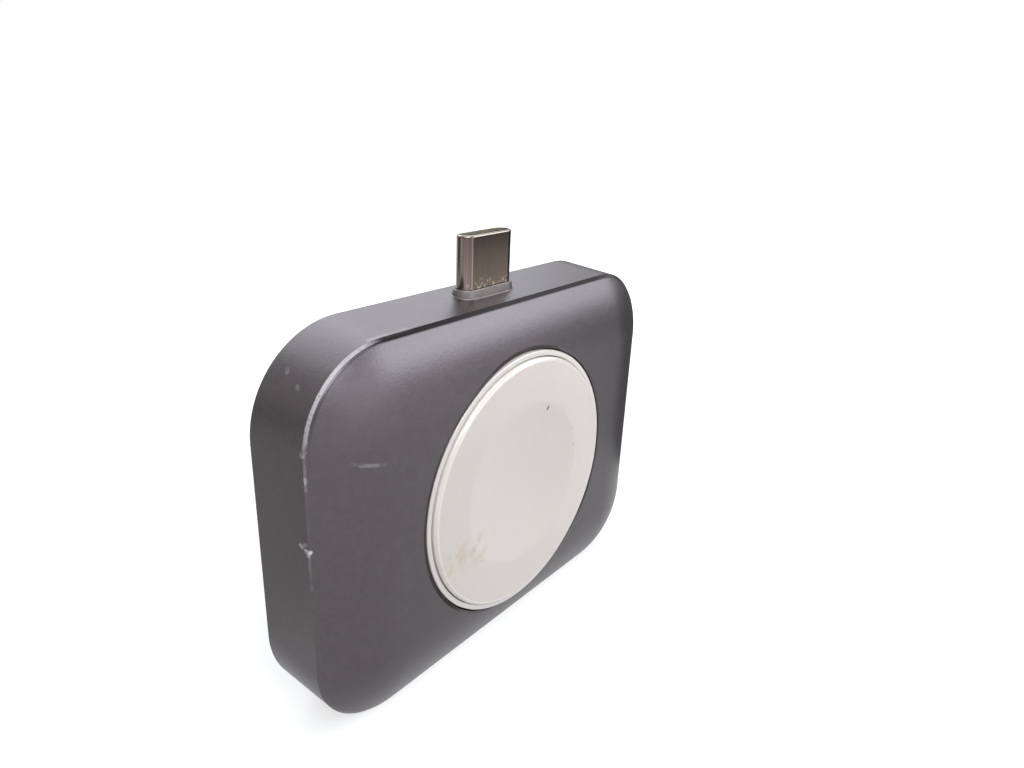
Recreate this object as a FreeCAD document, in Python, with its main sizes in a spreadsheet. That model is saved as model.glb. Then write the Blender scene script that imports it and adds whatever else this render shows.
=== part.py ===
import FreeCAD, Part
import os
import re
import Sketcher

# A pocket charging dock for a smartwatch: a drafted metal body with a crowned charging face,
# a white charging puck let into it, and a plug that stands up out of its top.
# x runs across the body, y from the charging face (minus) to the back (plus), and z up.
# The origin is under the middle of the whole dock, on the surface that it stands on.

doc = FreeCAD.newDocument("ChargingDock")
sheet = doc.addObject("Spreadsheet::Sheet", "Sizes")
sub_parts = []


# Driving sizes in millimetres, one cell for each
SIZES = {
    # Body, seen from the front, round the puck's ring
    "margin_beside": 12.6,
    "margin_above": 5.6,
    "margin_below": 5.3,
    "corner_radius": 9.6,
    "back_corner_radius": 10.9,
    # Body, seen from the side
    "band_depth": 8.2,
    "side_draft": 0.75,
    "front_chamfer": 0.4,
    "back_chamfer": 0.4,
    "crown_rise": 2.8,
    "crown_core_radius": 0.5,
    "foot_skin": 0.5,
    # Walls of the body and the cavity behind them
    "rim_width": 1.0,
    "ledge_width": 1.2,
    "shoulder_wall": 0.8,
    "front_wall": 1.5,
    "deep_margin": 5.0,
    # Back cover and the glue that holds it
    "cover_thickness": 1.1,
    "cover_clearance": 0.1,
    "glue_thickness": 0.15,
    "rib_width": 0.8,
    "rib_height": 0.3,
    "rib_clearance": 0.2,
    # Charging puck
    "ring_diameter": 32.8,
    "ring_width": 0.7,
    "ring_thickness": 1.2,
    "ring_chamfer": 0.15,
    "ring_gap": 0.15,
    "puck_clearance": 0.15,
    "disc_proud": 0.5,
    "disc_chamfer": 0.35,
    "dish_diameter": 20.4,
    "dish_depth": 0.9,
    "cup_clearance": 0.3,
    "cup_wall": 1.0,
    "cup_floor": 1.0,
    "flange_width": 1.15,
    "flange_thickness": 1.0,
    "seat_margin": 0.5,
    # What the puck holds
    "shield_thickness": 0.3,
    "shield_clearance": 0.15,
    "ferrite_thickness": 0.9,
    "ferrite_clearance": 0.35,
    "coil_thickness": 1.3,
    "coil_clearance": 1.05,
    "coil_bore_margin": 1.6,
    "pad_thickness": 0.3,
    "magnet_diameter": 8.4,
    "magnet_thickness": 2.3,
    "magnet_round": 0.3,
    "magnet_clearance": 0.4,
    "lead_diameter": 0.8,
    "lead_spacing": 1.6,
    "lead_inset": 1.2,
    "lead_clearance": 0.4,
    # Plug
    "plug_width": 8.25,
    "plug_thickness": 2.4,
    "plug_wall": 0.3,
    "plug_reach": 7.35,
    "plug_rim_chamfer": 0.15,
    "shell_length": 13.2,
    "plug_fit": 0.05,
    "mouth_side": 0.675,
    "mouth_depth": 6.6,
    "housing_setback": 0.35,
    "insert_setback": 0.3,
    "latch_thickness": 0.25,
    "latch_arm_width": 0.3,
    "latch_setback": 1.2,
    "contact_width": 0.25,
    "contact_thickness": 0.15,
    "contact_margin": 0.525,
    "contact_setback": 1.3,
    "contact_tail": 1.3,
    "contact_bump": 0.08,
    "bump_length": 1.0,
    # Collar round the foot of the plug
    "collar_rim": 0.45,
    "collar_taper": 0.2,
    "collar_foot": 0.2,
    "collar_height": 0.85,
    # Saddle that the plug lies in, and its clamp
    "saddle_land": 4.3,
    "saddle_clearance": 0.3,
    "clamp_thickness": 0.5,
    "clamp_margin": 0.5,
    "clamp_clearance": 0.45,
    "clamp_screw_diameter": 1.0,
    "clamp_screw_length": 2.6,
    "clamp_head_diameter": 1.7,
    "clamp_head_height": 0.5,
    # Board, its bosses and its screws
    "board_thickness": 0.8,
    "board_margin": 0.5,
    "boss_diameter": 4.0,
    "boss_inset": 5.0,
    "screw_diameter": 1.6,
    "screw_length": 3.3,
    "screw_clearance": 0.05,
    "head_diameter": 2.8,
    "head_height": 0.7,
    "foam_side": 16.0,
    # Parts soldered to the board
    "controller_side": 5.0,
    "driver_side": 4.0,
    "supply_side": 3.0,
    "chip_height": 0.85,
    "chip_bevel": 0.15,
    "chip_spacing": 9.0,
    "inductor_side": 4.2,
    "inductor_clearance": 0.3,
    "inductor_bevel": 0.4,
    "tank_length": 3.2,
    "tank_width": 2.5,
    "tank_height": 1.8,
    "tank_pitch": 3.4,
    "capacitor_length": 1.6,
    "capacitor_width": 0.8,
    "capacitor_height": 0.8,
    "capacitor_pitch": 1.8,
    "resistor_length": 1.0,
    "resistor_width": 0.5,
    "resistor_height": 0.35,
    "resistor_pitch": 1.2,
    "crystal_length": 2.0,
    "crystal_width": 1.6,
    "crystal_height": 0.5,
    "crystal_offset": 13.5,
    "crystal_rise": 4.5,
}
for row, (alias, value) in enumerate(SIZES.items(), start=1):
    sheet.set(f"A{row}", alias)
    sheet.set(f"B{row}", str(value))
    sheet.setAlias(f"B{row}", alias)
doc.recompute()

TANK_COUNT = 4
CAPACITOR_COUNT = 8
RESISTOR_COUNT = 6
CONTACT_COUNT = 12

# Depths, measured from the back of the dock towards the charging face
WHOLE_DEPTH = "(band_depth + crown_rise + disc_proud)"
BACK = "0"
LEDGE = "(cover_thickness + glue_thickness)"
SHOULDER = "(band_depth - shoulder_wall)"
DEEP_FLOOR = "(band_depth + crown_rise - front_wall)"
FACE = "(band_depth + crown_rise)"
CLAMP_BACK = "(cover_thickness + clamp_clearance + clamp_head_height)"
SADDLE_BACK = f"({CLAMP_BACK} + clamp_thickness)"
PLUG_AXIS = f"({SADDLE_BACK} + plug_thickness / 2)"
BOARD_BACK = f"({PLUG_AXIS} - board_thickness / 2)"
BOARD_FRONT = f"({PLUG_AXIS} + board_thickness / 2)"
CUP_RIM = f"({FACE} - ring_thickness)"
COIL_FRONT = f"({CUP_RIM} - pad_thickness)"
COIL_BACK = f"({COIL_FRONT} - coil_thickness)"
FERRITE_BACK = f"({COIL_BACK} - ferrite_thickness)"
CUP_INSIDE = f"({FERRITE_BACK} - shield_thickness)"
CUP_BACK = f"({CUP_INSIDE} - cup_floor)"
FLANGE_FRONT = f"({SHOULDER} - glue_thickness)"

# Heights above the foot
BODY_HEIGHT = "(margin_below + ring_diameter + margin_above)"
BACK_TOP = f"({BODY_HEIGHT} + side_draft)"
PUCK_HEIGHT = "(margin_below + ring_diameter / 2)"
CAVITY_MARGIN = "(rim_width + ledge_width)"
CAVITY_TOP = f"({BACK_TOP} - {CAVITY_MARGIN})"
COLLAR_SEAT = CAVITY_TOP
TOP_AT_PLUG = f"({BACK_TOP} - side_draft * {PLUG_AXIS} / band_depth)"
PLUG_TIP = f"({BODY_HEIGHT} + plug_reach)"
SHELL_FOOT = f"({PLUG_TIP} - shell_length)"
MOUTH_FLOOR = f"({PLUG_TIP} - mouth_depth)"

# Half widths and radii
BODY_HALF_WIDTH = "(ring_diameter / 2 + margin_beside)"
BACK_HALF_WIDTH = f"({BODY_HALF_WIDTH} + side_draft)"
CAVITY_HALF_WIDTH = f"({BACK_HALF_WIDTH} - {CAVITY_MARGIN})"
CROWN_WIDTH = "(corner_radius - front_chamfer - crown_core_radius)"
HOLE_RADIUS = "(ring_diameter / 2 + puck_clearance)"
BARREL_RADIUS = f"({HOLE_RADIUS} - cup_clearance)"
CUP_BORE_RADIUS = f"({BARREL_RADIUS} - cup_wall)"
FLANGE_RADIUS = f"({BARREL_RADIUS} + flange_width)"
DISC_RADIUS = "(ring_diameter / 2 - ring_width - ring_gap)"
FERRITE_BORE_RADIUS = "(magnet_diameter / 2 + magnet_clearance)"
COIL_BORE_RADIUS = f"({FERRITE_BORE_RADIUS} + coil_bore_margin)"
COIL_RADIUS = f"({CUP_BORE_RADIUS} - coil_clearance)"
LEAD_RADIUS = f"({COIL_RADIUS} - lead_inset)"
SADDLE_FOOT = f"({PUCK_HEIGHT} + {FLANGE_RADIUS} + saddle_clearance)"
CLAMP_SCREW_HEIGHT = f"(({SADDLE_FOOT} + {CAVITY_TOP}) / 2)"
PLUG_CHANNEL_RADIUS = "(plug_thickness / 2 + plug_fit)"
MOUTH_HALF_HEIGHT = "(board_thickness / 2 + contact_thickness)"
MOUTH_HALF_WIDTH = "(plug_width / 2 - mouth_side)"
SLOT_INNER_HALF = f"({MOUTH_HALF_WIDTH} - plug_fit)"
CONTACT_HALF_SPAN = f"({SLOT_INNER_HALF} - contact_margin)"
COLLAR_WIDTH = "(plug_width + 2 * collar_rim)"
COLLAR_THICKNESS = "(plug_thickness + 2 * collar_rim)"
SADDLE_HALF_WIDTH = "(plug_width / 2 + plug_fit + saddle_land)"
CLAMP_SCREW_OFFSET = "(plug_width / 2 + plug_fit + saddle_land / 2)"
SIDE_PART_OFFSET = f"(({FLANGE_RADIUS} + {CAVITY_HALF_WIDTH}) / 2)"


def linked(expression):
    """The expression with the name of each size pointing at its cell in the sheet."""
    return re.sub(r"[a-z]+(_[a-z]+)+", r"Sizes.\g<0>", expression)


def number(expression):
    """What the expression comes to with the sizes as they are now."""
    value = sheet.evalExpression(linked(expression))
    return float(getattr(value, "Value", value))


def new_body(label):
    """A new sub-part under its own name, which may hold several like solids."""
    body = doc.addObject("PartDesign::Body", label)
    body.Label = label
    body.AllowCompound = True
    body.Placement = FreeCAD.Placement()
    sub_parts.append(body)
    return body


def new_sketch(body, role, offset_x="0", offset_y="0", offset_z="0"):
    """A sketch on one of the body's own origin planes, moved along that plane's axes."""
    plane = [feature for feature in body.Origin.OriginFeatures if feature.Role == role][0]
    sketch = body.newObject("Sketcher::SketchObject", f"{body.Name}_sketch")
    sketch.AttachmentSupport = [(plane, "")]
    sketch.MapMode = "FlatFace"
    sketch.setExpression("AttachmentOffset.Base.x", linked(offset_x))
    sketch.setExpression("AttachmentOffset.Base.y", linked(offset_y))
    sketch.setExpression("AttachmentOffset.Base.z", linked(offset_z))
    return sketch


def face_sketch(body, depth, centre_height="0"):
    """A sketch seen from the front, at a depth from the back: its x is across and its y is up."""
    return new_sketch(body, "XZ_Plane", offset_y=centre_height, offset_z=f"{depth} - {WHOLE_DEPTH} / 2")


def plan_sketch(body, height):
    """A sketch seen from above, at a height, whose y runs back from the plug's axis."""
    return new_sketch(body, "XY_Plane", offset_y=f"{WHOLE_DEPTH} / 2 - {PLUG_AXIS}", offset_z=height)


def side_sketch(body, centre_height="0", across="0", depth=BACK):
    """A sketch seen from the side, whose x runs back from the depth and whose y is up."""
    return new_sketch(body, "YZ_Plane", f"{WHOLE_DEPTH} / 2 - {depth}", centre_height, across)


def hold(sketch, constraint, expression):
    """Add a constraint whose value follows the expression."""
    index = sketch.addConstraint(Sketcher.Constraint(*constraint, number(expression)))
    sketch.setExpression(f"Constraints[{index}]", linked(expression))


def draw(sketch, corners):
    """A closed outline through the corners, anticlockwise. A corner is its x and y, and where the edge
    that arrives at it is an arc, also that arc's radius and, if it bends inwards, the word "hollow"."""
    edges = []
    for index, corner in enumerate(corners):
        before = corners[index - 1]
        start = FreeCAD.Vector(number(before[0]), number(before[1]), 0)
        end = FreeCAD.Vector(number(corner[0]), number(corner[1]), 0)
        if len(corner) == 2:
            edges.append((sketch.addGeometry(Part.LineSegment(start, end)), 1, 2))
            continue
        radius = number(corner[2])
        chord = end - start
        side = -1 if "hollow" in corner else 1
        outward = FreeCAD.Vector(chord.y, -chord.x, 0).normalize() * side
        centre_distance = max(radius ** 2 - (chord.Length / 2) ** 2, 0) ** 0.5
        middle = (start + end) / 2 + outward * (radius - centre_distance)
        if side > 0:
            edges.append((sketch.addGeometry(Part.Arc(start, middle, end)), 1, 2))
        else:
            edges.append((sketch.addGeometry(Part.Arc(end, middle, start)), 2, 1))
        hold(sketch, ("Radius", edges[-1][0]), corner[2])
    for index, corner in enumerate(corners):
        edge, start_point, end_point = edges[index]
        next_edge, next_start, next_end = edges[(index + 1) % len(edges)]
        sketch.addConstraint(Sketcher.Constraint("Coincident", edge, end_point, next_edge, next_start))
        hold(sketch, ("DistanceX", -1, 1, edge, end_point), corner[0])
        hold(sketch, ("DistanceY", -1, 1, edge, end_point), corner[1])


def draw_rectangle(sketch, left, right, bottom, top):
    draw(sketch, [(left, bottom), (right, bottom), (right, top), (left, top)])


def draw_rounded_rectangle(sketch, half_width, bottom, top, radius):
    """A rectangle with four round corners, even about the sketch's upright axis."""
    inner = f"({half_width} - {radius})"
    low = f"({bottom} + {radius})"
    high = f"({top} - {radius})"
    draw(sketch, [
        (f"-{inner}", bottom, radius),
        (inner, bottom),
        (half_width, low, radius),
        (half_width, high),
        (inner, top, radius),
        (f"-{inner}", top),
        (f"-{half_width}", high, radius),
        (f"-{half_width}", low),
    ])


def draw_full_round(sketch, width, thickness):
    """A flat shape with two half-round ends, centred on the sketch's origin."""
    radius = f"(({thickness}) / 2)"
    inner = f"(({width}) / 2 - {radius})"
    tip = f"(({width}) / 2)"
    draw(sketch, [
        (f"-{inner}", f"-{radius}", radius),
        (inner, f"-{radius}"),
        (tip, "0", radius),
        (inner, radius, radius),
        (f"-{inner}", radius),
        (f"-{tip}", "0", radius),
    ])


def draw_circle(sketch, radius, x="0", y="0"):
    centre = FreeCAD.Vector(number(x), number(y), 0)
    circle = sketch.addGeometry(Part.Circle(centre, FreeCAD.Vector(0, 0, 1), number(radius)))
    hold(sketch, ("Radius", circle), radius)
    hold(sketch, ("DistanceX", -1, 1, circle, 3), x)
    hold(sketch, ("DistanceY", -1, 1, circle, 3), y)


def pad(body, sketch, length):
    """Add material from the sketch, along the sketch's own upward side."""
    feature = body.newObject("PartDesign::Pad", f"{body.Name}_pad")
    feature.Profile = sketch
    feature.setExpression("Length", linked(length))
    sketch.Visibility = False
    return feature


def pocket(body, sketch, length, forward):
    """Cut from the sketch along its upward side (forward) or against it, and see that it cuts."""
    doc.recompute()
    before = body.Shape.Volume
    feature = body.newObject("PartDesign::Pocket", f"{body.Name}_pocket")
    feature.Profile = sketch
    feature.Reversed = forward
    feature.setExpression("Length", linked(length))
    sketch.Visibility = False
    doc.recompute()
    if not body.Shape.Volume < before:
        raise RuntimeError(f"{feature.Name} cuts nothing")
    return feature


def revolve(body, sketch):
    """Turn the sketch about its own horizontal axis."""
    feature = body.newObject("PartDesign::Revolution", f"{body.Name}_turned")
    feature.Profile = sketch
    feature.ReferenceAxis = (sketch, ["H_Axis"])
    feature.Angle = 360
    sketch.Visibility = False
    return feature


def pair(expression):
    """The same place left and right of the middle."""
    return [f"-({expression})", f"({expression})"]


def row_places(count, pitch):
    """Places along a row that is centred on zero."""
    return [f"({index - (count - 1) / 2} * {pitch})" for index in range(count)]


# Front shell: band, crowned face, cavity, seats, saddle and bosses in one metal piece

front_shell = new_body("front_shell")

back_edge = face_sketch(front_shell, BACK)
draw_rounded_rectangle(back_edge, f"({BACK_HALF_WIDTH} - back_chamfer)", "back_chamfer",
                       f"({BACK_TOP} - back_chamfer)", "(back_corner_radius - back_chamfer)")
back_outline = face_sketch(front_shell, "back_chamfer")
draw_rounded_rectangle(back_outline, BACK_HALF_WIDTH, "0", BACK_TOP, "back_corner_radius")
front_outline = face_sketch(front_shell, "band_depth - front_chamfer")
draw_rounded_rectangle(front_outline, BODY_HALF_WIDTH, "0", BODY_HEIGHT, "corner_radius")
front_edge = face_sketch(front_shell, "band_depth")
draw_rounded_rectangle(front_edge, f"({BODY_HALF_WIDTH} - front_chamfer)", "front_chamfer",
                       f"({BODY_HEIGHT} - front_chamfer)", "(corner_radius - front_chamfer)")
band = front_shell.newObject("PartDesign::AdditiveLoft", "band")
band.Profile = back_edge
band.Sections = [back_outline, front_outline, front_edge]
band.Ruled = True

# A loft's sides are not true planes, so the strip that the dock stands on is cut out and padded again
foot_half_width = f"({BACK_HALF_WIDTH} - back_corner_radius)"
foot_depth = "(band_depth - front_chamfer - back_chamfer)"
foot_gap = face_sketch(front_shell, "back_chamfer")
draw_rectangle(foot_gap, f"-{foot_half_width}", foot_half_width, "0", "foot_skin")
pocket(front_shell, foot_gap, foot_depth, forward=True)
foot = face_sketch(front_shell, "back_chamfer")
draw_rectangle(foot, f"-{foot_half_width}", foot_half_width, "0", "foot_skin")
pad(front_shell, foot, foot_depth)

# The crown is an arc that leaves the front edge at a slope and meets the flat of the face smoothly
crown_radius = f"(({CROWN_WIDTH} ^ 2 + crown_rise ^ 2) / (2 * crown_rise))"
crown_path = face_sketch(front_shell, "band_depth")
path_half_width = f"({BODY_HALF_WIDTH} - front_chamfer)"
path_radius = "(corner_radius - front_chamfer)"
path_inner = f"({path_half_width} - {path_radius})"
draw(crown_path, [
    ("0", "front_chamfer"),
    (path_inner, "front_chamfer"),
    (path_half_width, f"(front_chamfer + {path_radius})", path_radius),
    (path_half_width, f"({BODY_HEIGHT} - front_chamfer - {path_radius})"),
    (path_inner, f"({BODY_HEIGHT} - front_chamfer)", path_radius),
    (f"-{path_inner}", f"({BODY_HEIGHT} - front_chamfer)"),
    (f"-{path_half_width}", f"({BODY_HEIGHT} - front_chamfer - {path_radius})", path_radius),
    (f"-{path_half_width}", f"(front_chamfer + {path_radius})"),
    (f"-{path_inner}", "front_chamfer", path_radius),
])
crown_section = side_sketch(front_shell)
draw(crown_section, [
    ("-band_depth", "front_chamfer", crown_radius),
    ("-band_depth", f"(front_chamfer + {CROWN_WIDTH})"),
    (f"-{FACE}", f"(front_chamfer + {CROWN_WIDTH})"),
])
crown = front_shell.newObject("PartDesign::AdditivePipe", "crown")
crown.Profile = crown_section
crown.Spine = crown_path
crown_core = face_sketch(front_shell, SHOULDER)
core_inset = f"(front_chamfer + {CROWN_WIDTH})"
draw_rounded_rectangle(crown_core, f"({BODY_HALF_WIDTH} - {core_inset})", core_inset,
                       f"({BODY_HEIGHT} - {core_inset})", "crown_core_radius")
pad(front_shell, crown_core, "crown_rise + shoulder_wall")

# The cavity is cut from the back in three steps: the rebate for the cover, the cavity, its deep middle
cover_seat = face_sketch(front_shell, BACK)
draw_rounded_rectangle(cover_seat, f"({BACK_HALF_WIDTH} - rim_width)", "rim_width",
                       f"({BACK_TOP} - rim_width)", "(back_corner_radius - rim_width)")
pocket(front_shell, cover_seat, LEDGE, forward=True)
cavity = face_sketch(front_shell, BACK)
draw_rounded_rectangle(cavity, CAVITY_HALF_WIDTH, CAVITY_MARGIN, CAVITY_TOP,
                       f"(back_corner_radius - {CAVITY_MARGIN})")
pocket(front_shell, cavity, SHOULDER, forward=True)
deep_middle = face_sketch(front_shell, BACK)
draw_rounded_rectangle(deep_middle, f"({CAVITY_HALF_WIDTH} - deep_margin)",
                       f"({CAVITY_MARGIN} + deep_margin)", f"({CAVITY_TOP} - deep_margin)",
                       f"(back_corner_radius - {CAVITY_MARGIN} - deep_margin)")
pocket(front_shell, deep_middle, DEEP_FLOOR, forward=True)

# A round seat stands on the inside of the face, and the puck's hole goes through its middle
puck_seat = face_sketch(front_shell, SHOULDER, PUCK_HEIGHT)
draw_circle(puck_seat, f"({FLANGE_RADIUS} + seat_margin)")
pad(front_shell, puck_seat, f"{DEEP_FLOOR} - {SHOULDER}")
puck_hole = face_sketch(front_shell, BACK, PUCK_HEIGHT)
draw_circle(puck_hole, HOLE_RADIUS)
pocket(front_shell, puck_hole, WHOLE_DEPTH, forward=True)

# The saddle under the top wall, with the channel that the plug lies in
saddle = face_sketch(front_shell, SADDLE_BACK)
draw_rectangle(saddle, f"-{SADDLE_HALF_WIDTH}", SADDLE_HALF_WIDTH, SADDLE_FOOT,
               f"({CAVITY_TOP} + rim_width / 2)")
pad(front_shell, saddle, f"{SHOULDER} - {SADDLE_BACK}")
channel_half = "(plug_width / 2 + plug_fit)"
channel_inner = f"({channel_half} - {PLUG_CHANNEL_RADIUS})"
channel = plan_sketch(front_shell, CAVITY_TOP)
draw(channel, [
    (f"-{channel_half}", "0"),
    (f"-{channel_inner}", f"-{PLUG_CHANNEL_RADIUS}", PLUG_CHANNEL_RADIUS),
    (channel_inner, f"-{PLUG_CHANNEL_RADIUS}"),
    (channel_half, "0", PLUG_CHANNEL_RADIUS),
    (channel_half, "plug_thickness"),
    (f"-{channel_half}", "plug_thickness"),
])
pocket(front_shell, channel, f"{CAVITY_TOP} - {SADDLE_FOOT} + saddle_clearance", forward=False)
collar_slot = plan_sketch(front_shell, COLLAR_SEAT)
draw_full_round(collar_slot, f"{COLLAR_WIDTH} + 2 * plug_fit", f"{COLLAR_THICKNESS} + 2 * plug_fit")
pocket(front_shell, collar_slot, f"{CAVITY_MARGIN} + rim_width", forward=True)
clamp_holes = face_sketch(front_shell, SADDLE_BACK, CLAMP_SCREW_HEIGHT)
for x in pair(CLAMP_SCREW_OFFSET):
    draw_circle(clamp_holes, "(clamp_screw_diameter / 2 + screw_clearance)", x)
pocket(front_shell, clamp_holes, "clamp_screw_length - clamp_thickness + screw_clearance", forward=True)

# Four bosses carry the board, each with a blind hole for its screw
boss_places = []
for x in pair(f"{CAVITY_HALF_WIDTH} - boss_inset"):
    for z in (f"({CAVITY_MARGIN} + boss_inset)", f"({CAVITY_TOP} - boss_inset)"):
        boss_places.append((x, z))
bosses = face_sketch(front_shell, BOARD_FRONT)
for x, z in boss_places:
    draw_circle(bosses, "(boss_diameter / 2)", x, z)
pad(front_shell, bosses, f"{DEEP_FLOOR} - {BOARD_FRONT}")
boss_holes = face_sketch(front_shell, BOARD_FRONT)
for x, z in boss_places:
    draw_circle(boss_holes, "(screw_diameter / 2 + screw_clearance)", x, z)
pocket(front_shell, boss_holes, "screw_length - board_thickness + screw_clearance", forward=True)


# Back cover, which sits flush in the rebate with a rib inside the cavity, and its frame of glue

back_cover = new_body("back_cover")
plate_inset = "(rim_width + cover_clearance)"
cover_plate = face_sketch(back_cover, BACK)
draw_rounded_rectangle(cover_plate, f"({BACK_HALF_WIDTH} - {plate_inset})", plate_inset,
                       f"({BACK_TOP} - {plate_inset})", f"(back_corner_radius - {plate_inset})")
pad(back_cover, cover_plate, "cover_thickness")
rib = face_sketch(back_cover, "cover_thickness")
rib_inset = f"({CAVITY_MARGIN} + rib_clearance)"
for inset in (rib_inset, f"({rib_inset} + rib_width)"):
    draw_rounded_rectangle(rib, f"({BACK_HALF_WIDTH} - {inset})", inset,
                           f"({BACK_TOP} - {inset})", f"(back_corner_radius - {inset})")
pad(back_cover, rib, "rib_height")

cover_glue = new_body("cover_glue")
glue_frame = face_sketch(cover_glue, "cover_thickness")
for inset in (plate_inset, CAVITY_MARGIN):
    draw_rounded_rectangle(glue_frame, f"({BACK_HALF_WIDTH} - {inset})", inset,
                           f"({BACK_TOP} - {inset})", f"(back_corner_radius - {inset})")
pad(cover_glue, glue_frame, "glue_thickness")


# Puck: a cup with a flange, glued behind the face, that carries the ring and the dished cap

puck_cup = new_body("puck_cup")
cup_section = side_sketch(puck_cup, PUCK_HEIGHT)
draw(cup_section, [
    (f"-{CUP_BACK}", "0"),
    (f"-{CUP_BACK}", BARREL_RADIUS),
    (f"-({FLANGE_FRONT} - flange_thickness)", BARREL_RADIUS),
    (f"-({FLANGE_FRONT} - flange_thickness)", FLANGE_RADIUS),
    (f"-{FLANGE_FRONT}", FLANGE_RADIUS),
    (f"-{FLANGE_FRONT}", BARREL_RADIUS),
    (f"-{CUP_RIM}", BARREL_RADIUS),
    (f"-{CUP_RIM}", CUP_BORE_RADIUS),
    (f"-{CUP_INSIDE}", CUP_BORE_RADIUS),
    (f"-{CUP_INSIDE}", "0"),
])
revolve(puck_cup, cup_section)


def cut_lead_slot(body, depth, thickness):
    """The slot that lets both coil leads through a piece of the puck."""
    slot = face_sketch(body, depth, PUCK_HEIGHT)
    half_width = "(lead_spacing / 2 + lead_diameter / 2 + lead_clearance)"
    half_height = "(lead_diameter / 2 + lead_clearance)"
    draw_rectangle(slot, f"-{half_width}", half_width, f"(-{LEAD_RADIUS} - {half_height})",
                   f"(-{LEAD_RADIUS} + {half_height})")
    pocket(body, slot, thickness, forward=True)


cut_lead_slot(puck_cup, CUP_BACK, "cup_floor")

puck_glue = new_body("puck_glue")
glue_ring = face_sketch(puck_glue, FLANGE_FRONT, PUCK_HEIGHT)
draw_circle(glue_ring, FLANGE_RADIUS)
draw_circle(glue_ring, HOLE_RADIUS)
pad(puck_glue, glue_ring, "glue_thickness")

puck_ring = new_body("puck_ring")
ring_section = side_sketch(puck_ring, PUCK_HEIGHT)
ring_radius = "(ring_diameter / 2)"
ring_bore = f"({ring_radius} - ring_width)"
draw(ring_section, [
    (f"-{CUP_RIM}", ring_bore),
    (f"-{CUP_RIM}", ring_radius),
    (f"-({FACE} - ring_chamfer)", ring_radius),
    (f"-{FACE}", f"({ring_radius} - ring_chamfer)"),
    (f"-{FACE}", f"({ring_bore} + ring_chamfer)"),
    (f"-({FACE} - ring_chamfer)", ring_bore),
])
revolve(puck_ring, ring_section)

puck_cap = new_body("puck_cap")
cap_section = side_sketch(puck_cap, PUCK_HEIGHT)
disc_face = f"({FACE} + disc_proud)"
dish_radius = "(((dish_diameter / 2) ^ 2 + dish_depth ^ 2) / (2 * dish_depth))"
draw(cap_section, [
    (f"-{CUP_RIM}", "0"),
    (f"-{CUP_RIM}", DISC_RADIUS),
    (f"-({disc_face} - disc_chamfer)", DISC_RADIUS),
    (f"-{disc_face}", f"({DISC_RADIUS} - disc_chamfer)"),
    (f"-{disc_face}", "(dish_diameter / 2)"),
    (f"-({disc_face} - dish_depth)", "0", dish_radius, "hollow"),
])
revolve(puck_cap, cap_section)


# Inside the puck, from the back: steel shield, ferrite, magnet, wound coil and its pad

shield_plate = new_body("shield_plate")
shield_disc = face_sketch(shield_plate, CUP_INSIDE, PUCK_HEIGHT)
draw_circle(shield_disc, f"({CUP_BORE_RADIUS} - shield_clearance)")
pad(shield_plate, shield_disc, "shield_thickness")
cut_lead_slot(shield_plate, CUP_INSIDE, "shield_thickness")

ferrite_plate = new_body("ferrite_plate")
ferrite_disc = face_sketch(ferrite_plate, FERRITE_BACK, PUCK_HEIGHT)
draw_circle(ferrite_disc, f"({CUP_BORE_RADIUS} - ferrite_clearance)")
draw_circle(ferrite_disc, FERRITE_BORE_RADIUS)
pad(ferrite_plate, ferrite_disc, "ferrite_thickness")
cut_lead_slot(ferrite_plate, FERRITE_BACK, "ferrite_thickness")

alignment_magnet = new_body("alignment_magnet")
magnet_section = side_sketch(alignment_magnet, PUCK_HEIGHT)
magnet_front = f"({FERRITE_BACK} + magnet_thickness)"
draw(magnet_section, [
    (f"-{FERRITE_BACK}", "0"),
    (f"-{FERRITE_BACK}", "(magnet_diameter / 2)"),
    (f"-({magnet_front} - magnet_round)", "(magnet_diameter / 2)"),
    (f"-{magnet_front}", "(magnet_diameter / 2 - magnet_round)"),
    (f"-{magnet_front}", "0"),
])
revolve(alignment_magnet, magnet_section)

charging_coil = new_body("charging_coil")
coil_ring = face_sketch(charging_coil, COIL_BACK, PUCK_HEIGHT)
draw_circle(coil_ring, COIL_RADIUS)
draw_circle(coil_ring, COIL_BORE_RADIUS)
pad(charging_coil, coil_ring, "coil_thickness")

for place, label in zip(pair("lead_spacing / 2"), ("coil_lead_inner", "coil_lead_outer")):
    coil_lead = new_body(label)
    lead_section = face_sketch(coil_lead, BOARD_FRONT, PUCK_HEIGHT)
    draw_circle(lead_section, "(lead_diameter / 2)", place, f"-{LEAD_RADIUS}")
    pad(coil_lead, lead_section, f"{COIL_BACK} - {BOARD_FRONT}")

coil_pad = new_body("coil_pad")
coil_pad_ring = face_sketch(coil_pad, COIL_FRONT, PUCK_HEIGHT)
draw_circle(coil_pad_ring, COIL_RADIUS)
draw_circle(coil_pad_ring, COIL_BORE_RADIUS)
pad(coil_pad, coil_pad_ring, "pad_thickness")


# Board: fills the cavity behind the puck, with a notch round the plug's saddle

main_board = new_body("main_board")
board_inset = f"({CAVITY_MARGIN} + board_margin)"
board_top = f"({BACK_TOP} - {board_inset})"
board_half_width = f"({BACK_HALF_WIDTH} - {board_inset})"
board_radius = f"(back_corner_radius - {board_inset})"
notch_half_width = f"({SADDLE_HALF_WIDTH} + saddle_clearance)"
notch_floor = f"({SHELL_FOOT} - plug_fit)"
board_outline = face_sketch(main_board, BOARD_BACK)
draw_rounded_rectangle(board_outline, board_half_width, board_inset, board_top, board_radius)
pad(main_board, board_outline, "board_thickness")
board_notch = face_sketch(main_board, BOARD_BACK)
draw_rectangle(board_notch, f"-{notch_half_width}", notch_half_width, notch_floor, BODY_HEIGHT)
pocket(main_board, board_notch, "board_thickness", forward=True)
board_holes = face_sketch(main_board, BOARD_BACK)
for x, z in boss_places:
    draw_circle(board_holes, "(screw_diameter / 2 + screw_clearance)", x, z)
pocket(main_board, board_holes, "board_thickness", forward=True)

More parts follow.
